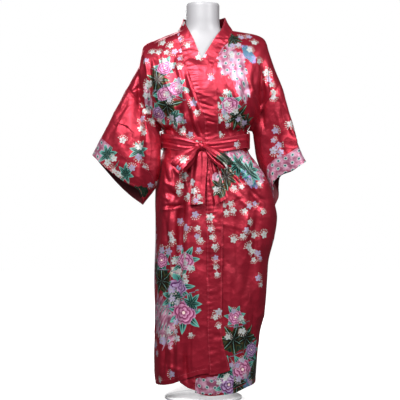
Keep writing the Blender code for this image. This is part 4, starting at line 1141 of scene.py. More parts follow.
def band(side, columns, upper_rows):
    """Points of one front band, from the middle of the neck's back to the hem."""
    share = np.linspace(0, 1, upper_rows)
    seam, edge = edge_points(side, "seam", share), edge_points(side, "edge", share)
    u = np.linspace(0, 1, columns)[None, :, None]
    upper = seam[:, None] * (1 - u) + edge[:, None] * u
    low = share > NECK_SHARE
    upper[low] = middle(upper[low], "front")
    reach = ease(share, NECK_SHARE * 0.9, NECK_SHARE * 1.2)[:, None] * np.ones(columns)
    theta = theta_at(upper[..., 0], upper[..., 2])
    upper = fold_over(upper, reach * ease(upper[..., 2] - belt_z(theta), WAIST_TOP, 60), "front")
    front = seam[:, 1] < 0
    upper[front] = over_form(even_chest(over_form(upper[front], "front"), BAND_PASSES), "front")
    layer = TOP_LAYER if side == "left" else 0.0
    height = upper[..., 2]
    upper[..., 1] -= layer * ease(height, *CHEST_TOP) * (share > NECK_SHARE * 0.8)[:, None]
    edges = (BAND_SEAM[side], BAND_EDGE[side])
    top_z = np.linspace(*(edge_waist(rows) for rows in edges), columns)
    hem_x = np.linspace(*(float(read(rows, "z", "x", HEM_LEVEL)) for rows in edges), columns)
    hem_z = read(HEM[side], "x", "z", hem_x)
    rows = SKIRT_SHARES[:, None]
    z = top_z + (hem_z - top_z) * rows
    across = np.linspace(0, 1, columns)[None]
    start, end = (edge_angle(rows, z) for rows in edges)
    angle = start + (end - start) * across
    skirt = tube(angle, z, layer)
    return np.concatenate([upper[:-1], skirt])


def grid_normals(points, closed=False):
    """Unit normals of a grid of points, by central differences."""
    if closed:
        across = np.roll(points, -1, axis=1) - np.roll(points, 1, axis=1)
    else:
        across = np.gradient(points, axis=1)
    down = np.gradient(points, axis=0)
    return unit(np.cross(across, down))


def pull_in(points, gap, closed=False):
    """Moves the border of a grid inwards by a gap along the grid's own lines."""
    out = points.copy()

    def toward(edge, inner):
        return edge + unit(inner - edge) * gap

    out[0], out[-1] = toward(points[0], points[1]), toward(points[-1], points[-2])
    if not closed:
        left, right = out[:, 0].copy(), out[:, -1].copy()
        out[:, 0], out[:, -1] = toward(left, out[:, 1]), toward(right, out[:, -2])
    return out


def noise(points, size, seed):
    """Smooth noise from -1 to 1 with bumps of about a size; size may differ along x, y and z."""
    at = points / np.asarray(size, float) + seed * 7.31
    cell = np.floor(at).astype(np.int64)
    part = at - cell
    part = part * part * (3 - 2 * part)
    total = np.zeros(points.shape[:-1])
    for corner in itertools.product((0, 1), repeat=3):
        key = cell + corner
        mixed = key[..., 0] * 73856093 ^ key[..., 1] * 19349663 ^ key[..., 2] * 83492791
        mixed = (mixed ^ (mixed >> 13)) * 1274126177 & 0xFFFFFF
        weight = np.prod(np.where(corner, part, 1 - part), axis=-1)
        total = total + weight * (mixed / 0x7FFFFF - 1)
    return total


def crumple(points, seed, stretch=(1.0, 1.0, 1.0)):
    """Sharp irregular ridges where slow noises change sign, as satin creases when it is handled."""
    stretch = np.array(stretch)
    height = 0.8 * noise(points, 30 * stretch, seed + 1)
    for size, sharp, out in ((60, 0.12, 1.6), (34, 0.15, 0.9)):
        warped = points + 9 * noise(points, size * 0.9, seed + 5)[..., None]
        ridge = np.exp(-np.abs(noise(warped, size * stretch, seed + size) / sharp))
        where = ease(noise(points, size * 1.7, seed + size + 2), -0.35, 0.45)
        side = np.where(noise(points, size * 2.2, seed + size + 3) > 0, 1, -1)
        height = height + out * ridge * where * side
    return height


# The bow's loops: the way each hangs, its width direction, its length and how wide it opens
LOOPS = {
    "bow_loop_right": {
        "start": (-8, -7, 1), "along": (-0.68, -0.34, -0.68), "wide": (-0.68, 0.38, 0.58),
        "length": 108.0, "open": 27.0, "width": 48.0,
    },
    "bow_loop_left": {
        "start": (8, -8, 3), "along": (0.76, -0.36, -0.60), "wide": (0.56, 0.52, 0.54),
        "length": 116.0, "open": 27.0, "width": 34.0,
    },
}
# The tails: middle line, width direction and width
TAILS = {
    "belt_tail_right": table("x y z wx wy width", [
        (-11, -125, 850, 0.98, -0.06, 28),
        (-12, -131, 815, 0.98, -0.10, 46),
        (-15, -132, 770, 0.97, -0.12, 50),
        (-19, -134, 715, 0.98, -0.10, 49),
        (-22, -135, 658, 0.98, -0.08, 49),
    ]),
    "belt_tail_left": table("x y z wx wy width", [
        (5, -122, 852, 0.90, 0.04, 12),
        (19, -125, 822, 0.90, 0.10, 18),
        (33, -127, 775, 0.90, 0.14, 30),
        (46, -129, 725, 0.92, 0.12, 40),
        (61, -131, 668, 0.92, 0.12, 42),
    ]),
}
# The belt carriers: where they stand, as an angle, and their profile over the belt
CARRIER_ANGLES = {"belt_carrier_right": -1.32, "belt_carrier_left": 1.28}
CARRIER_WIDTH = 14.0
CARRIER_PROFILE = table("rise out", [
    (-31, 5.4), (-29, 7.6), (-27, 10.6), (-14, 10.8), (14, 10.8), (27, 10.6), (29, 6.2), (32, 2.4),
])


def trim_to_knot(grid, rows):
    """Cuts a strip where each of its lines leaves the knot, and divides it anew."""
    fine = grid.shape[0]
    local = (grid - KNOT) / (KNOT_HALF - KNOT_TUCK)
    free = np.sum(np.abs(local) ** KNOT_POWER, axis=-1) > 1
    out = []
    for j in range(grid.shape[1]):
        first = int(np.argmax(free[:, j]))
        last = fine - 1 - int(np.argmax(free[::-1, j]))
        at = np.linspace(first, last, rows)
        out.append(np.stack([np.interp(at, np.arange(fine), grid[:, j, i]) for i in range(3)], axis=1))
    return np.stack(out, axis=1)


def bow_loop(loop):
    """A loop of the bow, from the knot out to its end and back behind itself."""
    along_way = unit(np.array(loop["along"]))
    wide = np.array(loop["wide"])
    wide = unit(wide - along_way * np.dot(wide, along_way))
    forward = np.cross(along_way, wide)
    forward = forward * (-1 if forward[1] > 0 else 1)
    turn = np.linspace(0, 1, LOOP_FINE)
    reach = loop["length"] * (1 - np.abs(2 * turn - 1) ** 1.7)
    lift = loop["open"] / 2 * np.sin(2 * math.pi * turn) + 3.2 * (1 - 2 * turn)
    start = KNOT + np.array(loop["start"])
    line = start + along_way * reach[:, None] + forward * lift[:, None]
    share = ease(reach, 12, 58)
    width = LOOP_NECK + (loop["width"] - LOOP_NECK) * share
    across = np.linspace(-0.5, 0.5, LOOP_COLUMNS)
    return line[:, None] + wide * (across[None, :] * width[:, None])[..., None]


def tail(path):
    """A tail of the sash, with a soft fold down its length."""
    length = lengths(points_of(path))
    at = np.linspace(0, length[-1], TAIL_FINE)
    line = np.stack([through(at, length, path[key]) for key in "xyz"], axis=1)
    wx, wy, width = (through(at, length, path[key]) for key in ("wx", "wy", "width"))
    side = unit(np.stack([wx, wy, 0 * at], axis=1))
    across = np.linspace(-0.5, 0.5, TAIL_COLUMNS)
    grid = line[:, None] + side[:, None] * (across[None, :] * width[:, None])[..., None]
    grid[..., 1] -= 3.0 * np.cos(2 * math.pi * across)[None] * ease(at, 0, 60)[:, None]
    return grid


def nearest_place(points, facing, x, z, face):
    """The point of a piece at a place in the front view, on its front (-1) or its back (1)."""
    away = np.hypot(points[..., 0] - x, points[..., 2] - z)
    away = np.where(facing * face > 0, away, np.inf)
    index = np.unravel_index(np.argmin(away), away.shape)
    return index if away[index] < MOTIF_CATCH else None


def strewn_sprays():
    """Rows like those of SPRAYS for the sprays strewn over each zone."""
    rows = []
    for number, (x, z, face, wide, high, count, on) in enumerate(zip(*SPRAY_ZONES.values())):
        random = np.random.default_rng(500 + number)
        for _ in range(int(count)):
            place = np.array((x, z)) + random.uniform(-1, 1, 2) * (wide, high)
            turn, bend = random.uniform(-150, -30), random.uniform(-1, 1)
            blossoms = int(random.integers(2, 6))
            length = blossoms * (10 if on == BAND else SPRAY_STEP)
            rows.append((*place, face, turn, length, bend, blossoms, on))
    return rows


def blossoms_of_sprays():
    """Each blossom of the sprays: its place in the front view, side, radius, turn, tint and kind of piece."""
    found = []
    sprays = list(zip(*SPRAYS.values())) + strewn_sprays()
    for number, (x, z, face, turn, length, bend, count, on) in enumerate(sprays):
        random = np.random.default_rng(40 + number)
        share = (np.arange(int(count)) + 0.5) / count
        angle = np.radians(turn) + bend * (share - 0.5)
        step = np.stack([np.cos(angle), np.sin(angle)], axis=1) * length / count
        place = (x, z) + np.cumsum(step, axis=0) + random.normal(0, SPRAY_SCATTER, (int(count), 2))
        radius = BLOSSOM_RADIUS * random.uniform(0.75, 1.1, int(count)) * (1.08 - 0.3 * share)
        for spot, size in zip(place, radius):
            turn_own, tint = random.uniform(0, 2 * math.pi), random.uniform(0, 1)
            crowded = any(
                other[2] == face and math.dist(other[:2], spot) < BLOSSOM_SPACE * (other[3] + size)
                for other in found
            )
            if not crowded:
                found.append((*spot, face, size, turn_own, tint, on))
    return found


def own_places(points, normals, kind, motifs):
    """For each point, the nearest motif's own coordinates in its radii, its tint and how far off it is."""
    places = points.reshape(-1, 3)
    own = np.zeros((len(places), 3))
    reach = np.full(len(places), FAR_OFF)
    for x, z, face, radius, turn, tint, on in motifs:
        index = nearest_place(points, normals[..., 1], x, z, face) if on == kind else None
        if index is None:
            continue
        ahead = normals[index]
        across = unit(np.cross((0, 0, 1), ahead))
        up = np.cross(ahead, across)
        offset = (places - points[index]) / radius
        deep = np.abs(offset @ ahead) > MOTIF_DEPTH
        flat = np.stack([offset @ across, offset @ up], axis=1)
        away = np.where(deep, FAR_OFF, np.hypot(*flat.T))
        nearer = away < reach
        turned = np.stack([
            flat[:, 0] * math.cos(turn) + flat[:, 1] * math.sin(turn),
            flat[:, 1] * math.cos(turn) - flat[:, 0] * math.sin(turn),
            np.full(len(flat), tint),
        ], axis=1)
        own[nearer] = turned[nearer]
        reach = np.minimum(reach, away)
    return own, reach


def patches_on(points, facing, kind):
    """How deep each place lies in the patches of each ground colour, as four columns."""
    depth = np.zeros((*points.shape[:2], 4))
    for x, z, face, wide, high, turn, colour, on in zip(*PATCHES.values()):
        if on != kind:
            continue
        angle = math.radians(turn)
        dx, dz = points[..., 0] - x, points[..., 2] - z
        along_way = (dx * math.cos(angle) + dz * math.sin(angle)) / wide
        aside = (dz * math.cos(angle) - dx * math.sin(angle)) / high
        inside = np.clip(1.5 - np.hypot(along_way, aside), 0, 1.5) * (facing * face > 0)
        depth[..., int(colour)] = np.maximum(depth[..., int(colour)], inside)
    return depth.reshape(-1, 4)


def write_print(obj, points, normals, kind, base_patch=None):
    """Stores where the print's motifs lie, as attributes of the piece's corners."""
    ends = np.empty(len(obj.data.loops), np.int32)
    obj.data.loops.foreach_get("vertex_index", ends)
    peonies = [
        (x, z, face, radius, math.radians(turn), tint, on)
        for x, z, face, radius, turn, tint, on in zip(*PEONIES.values())
    ]
    blossom, blossom_reach = own_places(points, normals, kind, blossoms_of_sprays())
    peony, peony_reach = own_places(points, normals, kind, peonies)
    patches = patches_on(points, normals[..., 1], kind)
    if base_patch is not None:
        patches = np.maximum(patches, base_patch.reshape(-1, 4))
    grounds = obj.data.attributes.new("patches", "FLOAT_COLOR", "CORNER")
    grounds.data.foreach_set("color", patches[ends].astype(np.float32).ravel())
    for name, values in (("blossom", blossom), ("peony", peony)):
        attribute = obj.data.attributes.new(name, "FLOAT_VECTOR", "CORNER")
        attribute.data.foreach_set("vector", values[ends].astype(np.float32).ravel())
    for name, values in (("blossom_reach", blossom_reach), ("peony_reach", peony_reach)):
        attribute = obj.data.attributes.new(name, "FLOAT", "CORNER")
        attribute.data.foreach_set("value", values[ends].astype(np.float32))
    layer = obj.data.uv_layers.active
    layer.name = "cloth"
    flat = flat_places(points).reshape(-1, 2)
    layer.data.foreach_set("uv", flat[ends].astype(np.float32).ravel())


def shape_cloth(points, normals, depth, stretch, hold=None):
    """Moves cloth along its normals by its creases and its crumpling; hold is 0 where it stays."""
    front, back = (
        fold_height(points[..., 0], points[..., 2], creases, 0.08, 0.3)
        for creases in (FRONT_CREASES, BACK_CREASES)
    )
    height = np.where(normals[..., 1] < 0, front, back) * ease(np.abs(normals[..., 1]), 0.1, 0.6)
    height = height * CREASE_GAIN
    height = height + depth * crumple(points, CRUMPLE_SEED, stretch)
    if hold is not None:
        height = height * hold
    return points + normals * height[..., None]


def flat_places(points):
    """Where each point lies on the flat cloth, in metres: across its row and down its column."""
    across = np.linalg.norm(np.diff(points, axis=1), axis=2)
    down = np.linalg.norm(np.diff(points, axis=0), axis=2)
    u = np.pad(np.cumsum(across, axis=1), ((0, 0), (1, 0)))
    v = np.pad(np.cumsum(down, axis=0), ((1, 0), (0, 0)))
    return np.stack([u, -v], axis=-1) * METRES


def name_new(name):
    """The object that was just added, under its name."""
    obj = bpy.context.object
    obj.name = obj.data.name = name
    return obj


def place_points(obj, points):
    """Moves a mesh's points to places in millimetres."""
    obj.data.vertices.foreach_set("co", (points * METRES).astype(np.float32).ravel())
    obj.data.update()


def put(obj, replaced=None):
    """Rides a piece on the part's body and hides the solid that it replaces."""
    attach(obj, "root")
    if replaced:
        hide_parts(replaced)


def deselect():
    for obj in bpy.context.selected_objects:
        obj.select_set(False)


def seat(points, column, target, reach):
    """Brings one edge of a grid to its target and spreads the move over a share of the columns."""
    columns = points.shape[1]
    place = np.arange(columns) / (columns - 1)
    away = np.abs(place - place[column])
    share = np.clip(1 - away / reach, 0, 1) ** 2
    return points + (target - points[:, column])[:, None] * share[None, :, None]


def edge_hold(rows, columns, top=0.0, bottom=0.0, left=0.0, right=0.0):
    """1 inside a grid and 0 at the edges that are held, with widths as shares of the grid."""
    t, u = np.linspace(0, 1, rows)[:, None], np.linspace(0, 1, columns)[None]
    hold = np.ones((rows, columns))
    for place, width in ((t, top), (1 - t, bottom), (u, left), (1 - u, right)):
        if width:
            hold = hold * ease(place, 0, width)
    return hold


def finish_cloth(obj):
    """Puts the piece on the frame and hides the solid that it replaces."""
    put(obj, obj.name.removesuffix("_cloth"))


def make_cloth(name, points, normals, thickness, looks, kind, closed=False, base_patch=None):
    """A sheet of cloth on a grid of points, printed and given its thickness; looks are face and back."""
    deselect()
    rows, columns = points.shape[:2]
    bpy.ops.mesh.primitive_grid_add(x_subdivisions=columns - 1, y_subdivisions=rows - 1)
    obj = name_new(name)
    place_points(obj, points)
    write_print(obj, points, normals, kind, base_patch)
    bpy.ops.object.mode_set(mode="EDIT")
    bpy.ops.mesh.select_all(action="SELECT")
    i, j = rows // 2, columns // 2
    cell = np.cross(points[i, j + 1] - points[i, j], points[i + 1, j] - points[i, j])
    if np.sum(cell * normals[i, j]) < 0:
        bpy.ops.mesh.flip_normals()
    if closed:
        bpy.ops.mesh.remove_doubles(threshold=MERGE_DISTANCE)
    bpy.ops.object.mode_set(mode="OBJECT")
    for look in looks:
        obj.data.materials.append(bpy.data.materials[look])
    wall = obj.modifiers.new("Cloth thickness", "SOLIDIFY")
    wall.thickness = thickness * METRES
    wall.offset = 0
    wall.use_even_offset = False
    wall.material_offset = len(looks) - 1
    bpy.ops.object.modifier_apply(modifier=wall.name)
    bpy.ops.object.shade_smooth_by_angle(angle=math.radians(50))
    return obj


def sew(name, lines, thickness):
    """Lockstitch along lines of points and normals: short threads that lie on the cloth, in one mesh."""
    threads = []
    for points, normals in lines:
        lifted = points + normals * (thickness / 2 + STITCH_LIFT)
        length = lengths(lifted)
        start = np.arange(STITCH_PITCH, length[-1] - STITCH_PITCH, STITCH_PITCH)
        first, last, up = (
            np.stack([np.interp(at, length, line[:, i]) for i in range(3)], axis=1)
            for at, line in ((start, lifted), (start + STITCH_LONG, lifted), (start, normals))
        )
        side = unit(np.cross(up, last - first)) * STITCH_WIDE / 2
        threads.append(np.stack([first - side, last - side, last + side, first + side], axis=1))
    threads = np.concatenate(threads)
    deselect()
    bpy.ops.mesh.primitive_grid_add(x_subdivisions=len(threads), y_subdivisions=1)
    obj = name_new(name)
    bpy.ops.object.mode_set(mode="EDIT")
    bpy.ops.mesh.select_all(action="SELECT")
    bpy.ops.mesh.edge_split(type="EDGE")
    bpy.ops.object.mode_set(mode="OBJECT")
    corners = np.empty(len(obj.data.loops), np.int32)
    obj.data.loops.foreach_get("vertex_index", corners)
    places = np.empty((len(obj.data.vertices), 3))
    places[corners] = threads.reshape(-1, 3)
    place_points(obj, places)
    wall = obj.modifiers.new("Thread thickness", "SOLIDIFY")
    wall.thickness = STITCH_WIDE * METRES
    wall.offset = 0
    bpy.ops.object.modifier_apply(modifier=wall.name)
    obj.data.materials.append(bpy.data.materials["polyester thread"])
    put(obj)


def away_from_middle(points, normals):
    """Normals turned away from the line up the middle of the body."""
    flat = points * np.array([1, 1, 0])
    middle_row = normals[len(normals) // 2] * flat[len(normals) // 2]
    return normals if middle_row.sum() > 0 else -normals


def finish_panel(name, points, normals, sizes):
    """A front or the back as cloth, with its hem sewn."""
    obj = make_cloth(name, points, normals, sizes.cloth, ("printed satin", "satin back"), PANEL)
    finish_cloth(obj)
    hem = [(points[HEM_ROW], normals[HEM_ROW])]
    sew(name.replace("cloth", "hem_stitches"), hem, sizes.cloth)


def build_front(side, name, sizes):
    points = front_panel(side, FRONT_COLUMNS)
    ring = sleeve(side, 0.0, ROW_SHARES)
    bodice = seat(points[:BODICE_ROWS], -1, ring, FRONT_SEAT)
    points = np.concatenate([bodice, points[BODICE_ROWS:]])
    normals = away_from_middle(points, grid_normals(points))
    rows, columns = points.shape[:2]
    hold = edge_hold(rows, columns, top=0.03, right=0.06)
    points = shape_cloth(points, normals, sizes.crumpling, PANEL_STRETCH, hold)
    dip = SEAM_DIP * np.exp(-((np.linspace(0, 1, columns) / 0.025) ** 2))
    points = points - normals * dip[None, :, None] * edge_hold(rows, columns, top=0.03)[..., None]
    points[:BODICE_ROWS] = clear_of_form(points[:BODICE_ROWS], "front", side)
    points = pull_in(points, SEAM_GAP / 2)
    finish_panel(name, points, normals, sizes)


def clear_of_form(points, column, side):
    """Keeps creased cloth off the dress form, and the front on top off the one below."""
    lifted = points.copy()
    layer = front_layer(side, np.float64(0)) if column == "front" else 0.0
    lift = layer * lapel(points)
    lifted[..., 1] += lift
    lifted = over_form(lifted, column)
    lifted[..., 1] -= lift
    return lifted


def build_back(sizes):
    points = back_panel(BACK_COLUMNS)
    bodice = points[:BODICE_ROWS]
    for side, column in (("left", 0), ("right", -1)):
        bodice = seat(bodice, column, sleeve(side, 0.0, 2 - ROW_SHARES), BACK_SEAT)
    points = np.concatenate([bodice, points[BODICE_ROWS:]])
    normals = away_from_middle(points, grid_normals(points))
    rows, columns = points.shape[:2]
    hold = edge_hold(rows, columns, top=0.03, left=0.03, right=0.03)
    points = shape_cloth(points, normals, sizes.crumpling, PANEL_STRETCH, hold)
    points[:BODICE_ROWS] = clear_of_form(points[:BODICE_ROWS], "back", "right")
    points = pull_in(points, SEAM_GAP / 2)
    finish_panel("back_cloth", points, normals, sizes)


def build_sleeve(side, name, sizes):
    """The sleeve and its cuff band, each closed along the seam below."""
    ring = np.concatenate([2 - ROW_SHARES[::-1], 2 + ROW_SHARES[1:]])
    phi = np.where(ring >= 2, ring - 2, ring)[None]
    cut = CUFF_START[side]
    parts = (
        ("sleeve", np.linspace(0, cut, SLEEVE_ROWS), sizes.cloth, PANEL),
        ("cuff", np.linspace(cut, 1, CUFF_ROWS), sizes.folded, CUFF),
    )
    for part, share, thickness, kind in parts:
        piece, looks = f"{part}_{name}", (part + " satin", "satin back")
        rows = share[:, None] * np.ones(phi.shape[1])
        if share[0] == 0:
            rows[0] = UNDERARM_NOTCH * ease(1 - np.abs(phi[0] - 1), 0.84, 0.97)
        points = sleeve(side, rows, phi)
        normals = grid_normals(points)
        centre = points.mean(axis=1, keepdims=True)
        if np.sum(normals * (points - centre)) < 0:
            normals = -normals
        hold = edge_hold(*points.shape[:2], top=0.05 if kind == PANEL else 0, left=0.03, right=0.03)
        points = shape_cloth(points, normals, sizes.crumpling, SLEEVE_STRETCH, hold)
        points[:, -1] = points[:, 0]
        base = cuff_patch(side, points, phi) if kind == CUFF else None
        obj = make_cloth(piece + "_cloth", points, normals, thickness, looks, kind, True, base)
        finish_cloth(obj)
        if kind == CUFF:
            lines = [(points[row], normals[row]) for row in CUFF_LINES]
            sew(piece + "_stitches", lines, thickness)


def cuff_patch(side, points, phi):
    """The cuffs are cut from the dotted mauve part of the cloth, the left one only at its outer corner."""
    depth = np.zeros((*points.shape[:2], 4))
    share = np.ones(points.shape[:2])
    if side == "left":
        share = ease(np.minimum(phi, 2 - phi), 0.4, 0.3) * share
    depth[..., 1] = share
    return depth


def build_band(side, name, sizes):
    points = band(side, BAND_COLUMNS, BAND_ROWS)
    normals = away_from_middle(points, grid_normals(points))
    run = lengths(points[:, 0])
    across = np.linspace(0, 1, BAND_COLUMNS)[None]
    # Short waves of uneven length and depth, strongest at the seam
    pucker = np.sin(run / 2.7 + 2.2 * np.sin(run / 31))[:, None] * np.exp(-((across / 0.4) ** 2))
    pucker = pucker * (0.35 + 0.65 * np.abs(np.sin(run / 47)))[:, None]
    pucker = pucker * edge_hold(*pucker.shape, left=0.08) - SEAM_DIP * np.exp(-((across / 0.1) ** 2))
    points = points + normals * (sizes.puckers * pucker)[..., None]
    points = shape_cloth(points, normals, 0.8 * sizes.crumpling, BAND_STRETCH)
    points = pull_in(points, SEAM_GAP / 2)
    obj = make_cloth(name, points, normals, sizes.folded, ("plain satin",), BAND)
    finish_cloth(obj)
    lines = [(points[:, column], normals[:, column]) for column in EDGE_LINES]
    sew(name.replace("cloth", "stitches"), lines, sizes.folded)


def build_belt(sizes):
    theta = np.linspace(-math.pi, math.pi, BELT_COLUMNS)
    knot_theta = float(theta_at(KNOT[0], BELT_SIDE_Z))
    half = BELT_HALF - (BELT_HALF - BELT_KNOT_HALF) * np.exp(-(((theta - knot_theta) / 0.3) ** 2))
    rows = np.linspace(-1, 1, BELT_ROWS)[:, None]
    points = tube(theta + 0 * rows, belt_z(theta) + 0 * rows, BELT_OFFSET)
    points[..., 2] = belt_z(theta) + half * rows
    normals = away_from_middle(points, grid_normals(points))
    gathers = np.zeros(points.shape[:2])
    for level, start, end, out, width in zip(*BELT_FOLDS.values()):
        reach = ease(theta, start - 0.25, start + 0.25) * ease(theta, end + 0.25, end - 0.25)
        drift = level + 0.18 * np.sin(2.3 * theta + 5 * level)
        gathers = gathers + out * reach * np.exp(-(((rows - drift) / width) ** 2))
    points = points + normals * (gathers + sizes.crumpling * 0.5 * crumple(points, 8))[..., None]
    points[:, -1] = points[:, 0]
    obj = make_cloth("belt_waist_cloth", points, normals, sizes.folded, ("sash satin",), SASH, True)
    finish_cloth(obj)
    lines = [(points[row], normals[row]) for row in EDGE_LINES]
    sew("belt_waist_stitches", lines, sizes.folded)


def build_knot(sizes):
    deselect()
    bpy.ops.mesh.primitive_uv_sphere_add(segments=96, ring_count=64, radius=1)
    obj = name_new("belt_knot_cloth")
    ray = unit(np.array([vertex.co for vertex in obj.data.vertices])[:, [2, 1, 0]])
    widest = KNOT_HALF.max()
    reach = np.sum(np.abs(ray / (KNOT_HALF / widest)) ** KNOT_POWER, axis=1) ** (-1 / KNOT_POWER)
    points = KNOT + ray * (reach * widest)[:, None]
    across, _, up = ((points - KNOT) / KNOT_HALF).T
    wrap = np.sin(across * 6.5 + up * 1.6 + 0.5) * 0.9 + np.sin(across * 13 - up * 3) * 0.4
    ends = ease(1 - np.abs(across), 0.0, 0.35)
    points = points + ray * (wrap * ends * sizes.knot_folds)[:, None]
    place_points(obj, points)
    bpy.ops.object.mode_set(mode="EDIT")
    bpy.ops.mesh.select_all(action="SELECT")
    bpy.ops.mesh.normals_make_consistent(inside=False)
    bpy.ops.object.mode_set(mode="OBJECT")
    obj.data.uv_layers.active.name = "cloth"
    obj.data.materials.append(bpy.data.materials["knot satin"])
    bpy.ops.object.shade_smooth()
    put(obj, "belt_knot")


def build_strip(name, grid, seed, sizes, folds):
    """A loop or a tail of the sash, with soft folds down its length and a fine crumple."""
    normals = grid_normals(grid)
    if normals[len(grid) // 4, grid.shape[1] // 2, 1] > 0:
        normals = -normals
    across = np.linspace(-1, 1, grid.shape[1])[None]
    along_way = np.linspace(0, 1, len(grid))[:, None]
    height = np.zeros(grid.shape[:2])
    for place, slant, out, width in folds:
        height = height + out * np.exp(-(((across - place - slant * along_way) / width) ** 2))
    height = height * ease(along_way, 0, 0.1) + 0.5 * sizes.crumpling * crumple(grid, seed)
    points = grid + normals * height[..., None]
    obj = make_cloth(name + "_cloth", points, normals, sizes.strip, ("sash satin",), SASH)
    finish_cloth(obj)


def build_bow(sizes):
    for number, (name, loop) in enumerate(LOOPS.items()):
        grid = trim_to_knot(bow_loop(loop), LOOP_ROWS)
        build_strip(name, grid, 20 + number, sizes, LOOP_FOLDS[name])
    for number, (name, path) in enumerate(TAILS.items()):
        grid = trim_to_knot(tail(path), TAIL_ROWS)
        share = np.linspace(0, 1, TAIL_ROWS)[:, None] ** 3
        grid[..., 2] += TAIL_SLANT[name] * np.linspace(-0.5, 0.5, TAIL_COLUMNS)[None] * share
        grid[..., 1] -= TAIL_LIFT[name] * np.linspace(0, 1, TAIL_ROWS)[:, None]
        build_strip(name, grid, 30 + number, sizes, TAIL_FOLDS[name])


def build_carrier(name, angle, sizes):
    rows = len(CARRIER_PROFILE["rise"])
    fine = np.linspace(0, rows - 1, 4 * rows)
    rise = np.interp(fine, np.arange(rows), CARRIER_PROFILE["rise"])
    out = through(fine, np.arange(rows, dtype=float), CARRIER_PROFILE["out"])
    across = np.linspace(-0.5, 0.5, 9) * CARRIER_WIDTH
    theta = np.full((len(fine), 9), angle)
    level = np.full_like(theta, belt_z(angle))
    points = tube(theta, level, out[:, None])
    ahead = tube(theta + 0.02, level) - tube(theta - 0.02, level)
    points = points + unit(ahead) * across[None, :, None]
    points[..., 2] = level + rise[:, None]
    normals = away_from_middle(points, grid_normals(points))
    points = points + normals * (1.2 - 1.0 * (np.abs(across) / across[-1]) ** 4)[None, :, None]
    obj = make_cloth(name + "_cloth", points, normals, sizes.cloth, ("plain satin",), SASH)
    finish_cloth(obj)


def build_form():
    """The form from a sphere whose rings are moved to the torso's sections."""
    deselect()
    bpy.ops.mesh.primitive_uv_sphere_add(segments=128, ring_count=FORM_RINGS, radius=1)
    obj = name_new("form_torso_shell")
    ball = np.array([vertex.co for vertex in obj.data.vertices])
    level = np.round(np.arccos(np.clip(ball[:, 2], -1, 1)) / math.pi * FORM_RINGS).astype(int)
    share = np.clip((level - FORM_CAP) / (FORM_RINGS - 2 * FORM_CAP), 0, 1)
    top = FORM["z"][-1]
    z = top + (FORM_BOTTOM - top) * share
    inset = np.clip(np.minimum(level, FORM_RINGS - level) / FORM_CAP, 0, 1)
    half = read(FORM, "z", "half", z)
    turn = np.arctan2(ball[:, 0], -ball[:, 1])
    deep = read_sides(FORM, "z", z, np.cos(turn) > 0)
    round_over = 1 - FORM_ROUNDING * ease(np.minimum(top - z, z - FORM_BOTTOM), 3.0, 0.0)
    size = np.where(inset < 1, inset * (1 - FORM_ROUNDING), round_over)
    x = NECK_X + half * power(np.sin(turn), 2 / SECTION_POWER) * size
    y = -deep * power(np.cos(turn), 2 / SECTION_POWER) * size
    place_points(obj, np.stack([x, y, z], axis=1))
    obj.data.materials.append(bpy.data.materials["moulded shell"])
    bpy.ops.object.shade_smooth_by_angle(angle=math.radians(40))
    put(obj, "form_torso")


def build_stand():
    for name, radius, low, high, bevel in (
        ("stand_base_plate", BASE_RADIUS, 0.0, BASE_THICKNESS, 1.5),
        ("stand_pole_tube", POLE_RADIUS, BASE_THICKNESS + SEAM_GAP, FORM_BOTTOM - SEAM_GAP, 0.4),
    ):
        deselect()
        bpy.ops.mesh.primitive_cylinder_add(
            vertices=128, radius=radius * METRES, depth=(high - low) * METRES,
            location=(0, 0, (high + low) / 2 * METRES),
        )
        obj = name_new(name)
        bpy.ops.object.transform_apply(location=True)
        edge = obj.modifiers.new("Rounded edge", "BEVEL")
        edge.width = bevel * METRES
        edge.segments = 3
        edge.limit_method = "ANGLE"
        bpy.ops.object.modifier_apply(modifier=edge.name)
        bpy.ops.object.shade_smooth_by_angle(angle=math.radians(35))
        obj.data.materials.append(bpy.data.materials["powder-coated steel"])
        put(obj, name.rsplit("_", 1)[0])


# Settings of the nodes that mix colours and that turn a value into a soft-edged mask
COLOURS = {"data_type": "RGBA"}
SMOOTH = {"interpolation_type": "SMOOTHSTEP"}


def hex_colour(code):
    """A linear colour with alpha from an sRGB hex value."""
    parts = [int(code[i:i + 2], 16) / 255 for i in (0, 2, 4)]
    return (*(c / 12.92 if c <= 0.04045 else ((c + 0.055) / 1.055) ** 2.4 for c in parts), 1.0)


def add(tree, kind, *values, **settings):
    """Adds a node; a second word in kind is its operation. Values fill its live inputs in order, as
    numbers, nodes or sockets, and None skips one."""
    kind, *operation = kind.split()
    node = tree.nodes.new("ShaderNode" + kind)
    for word in operation:
        node.operation = word
    for key, value in settings.items():
        setattr(node, key, value)
    live = [socket for socket in node.inputs if socket.enabled]
    for socket, value in zip(live, values):
        if isinstance(value, bpy.types.Node):
            value = next(out for out in value.outputs if out.enabled)
        if isinstance(value, bpy.types.NodeSocket):
            tree.links.new(value, socket)
        elif value is not None:
            socket.default_value = value
    return node


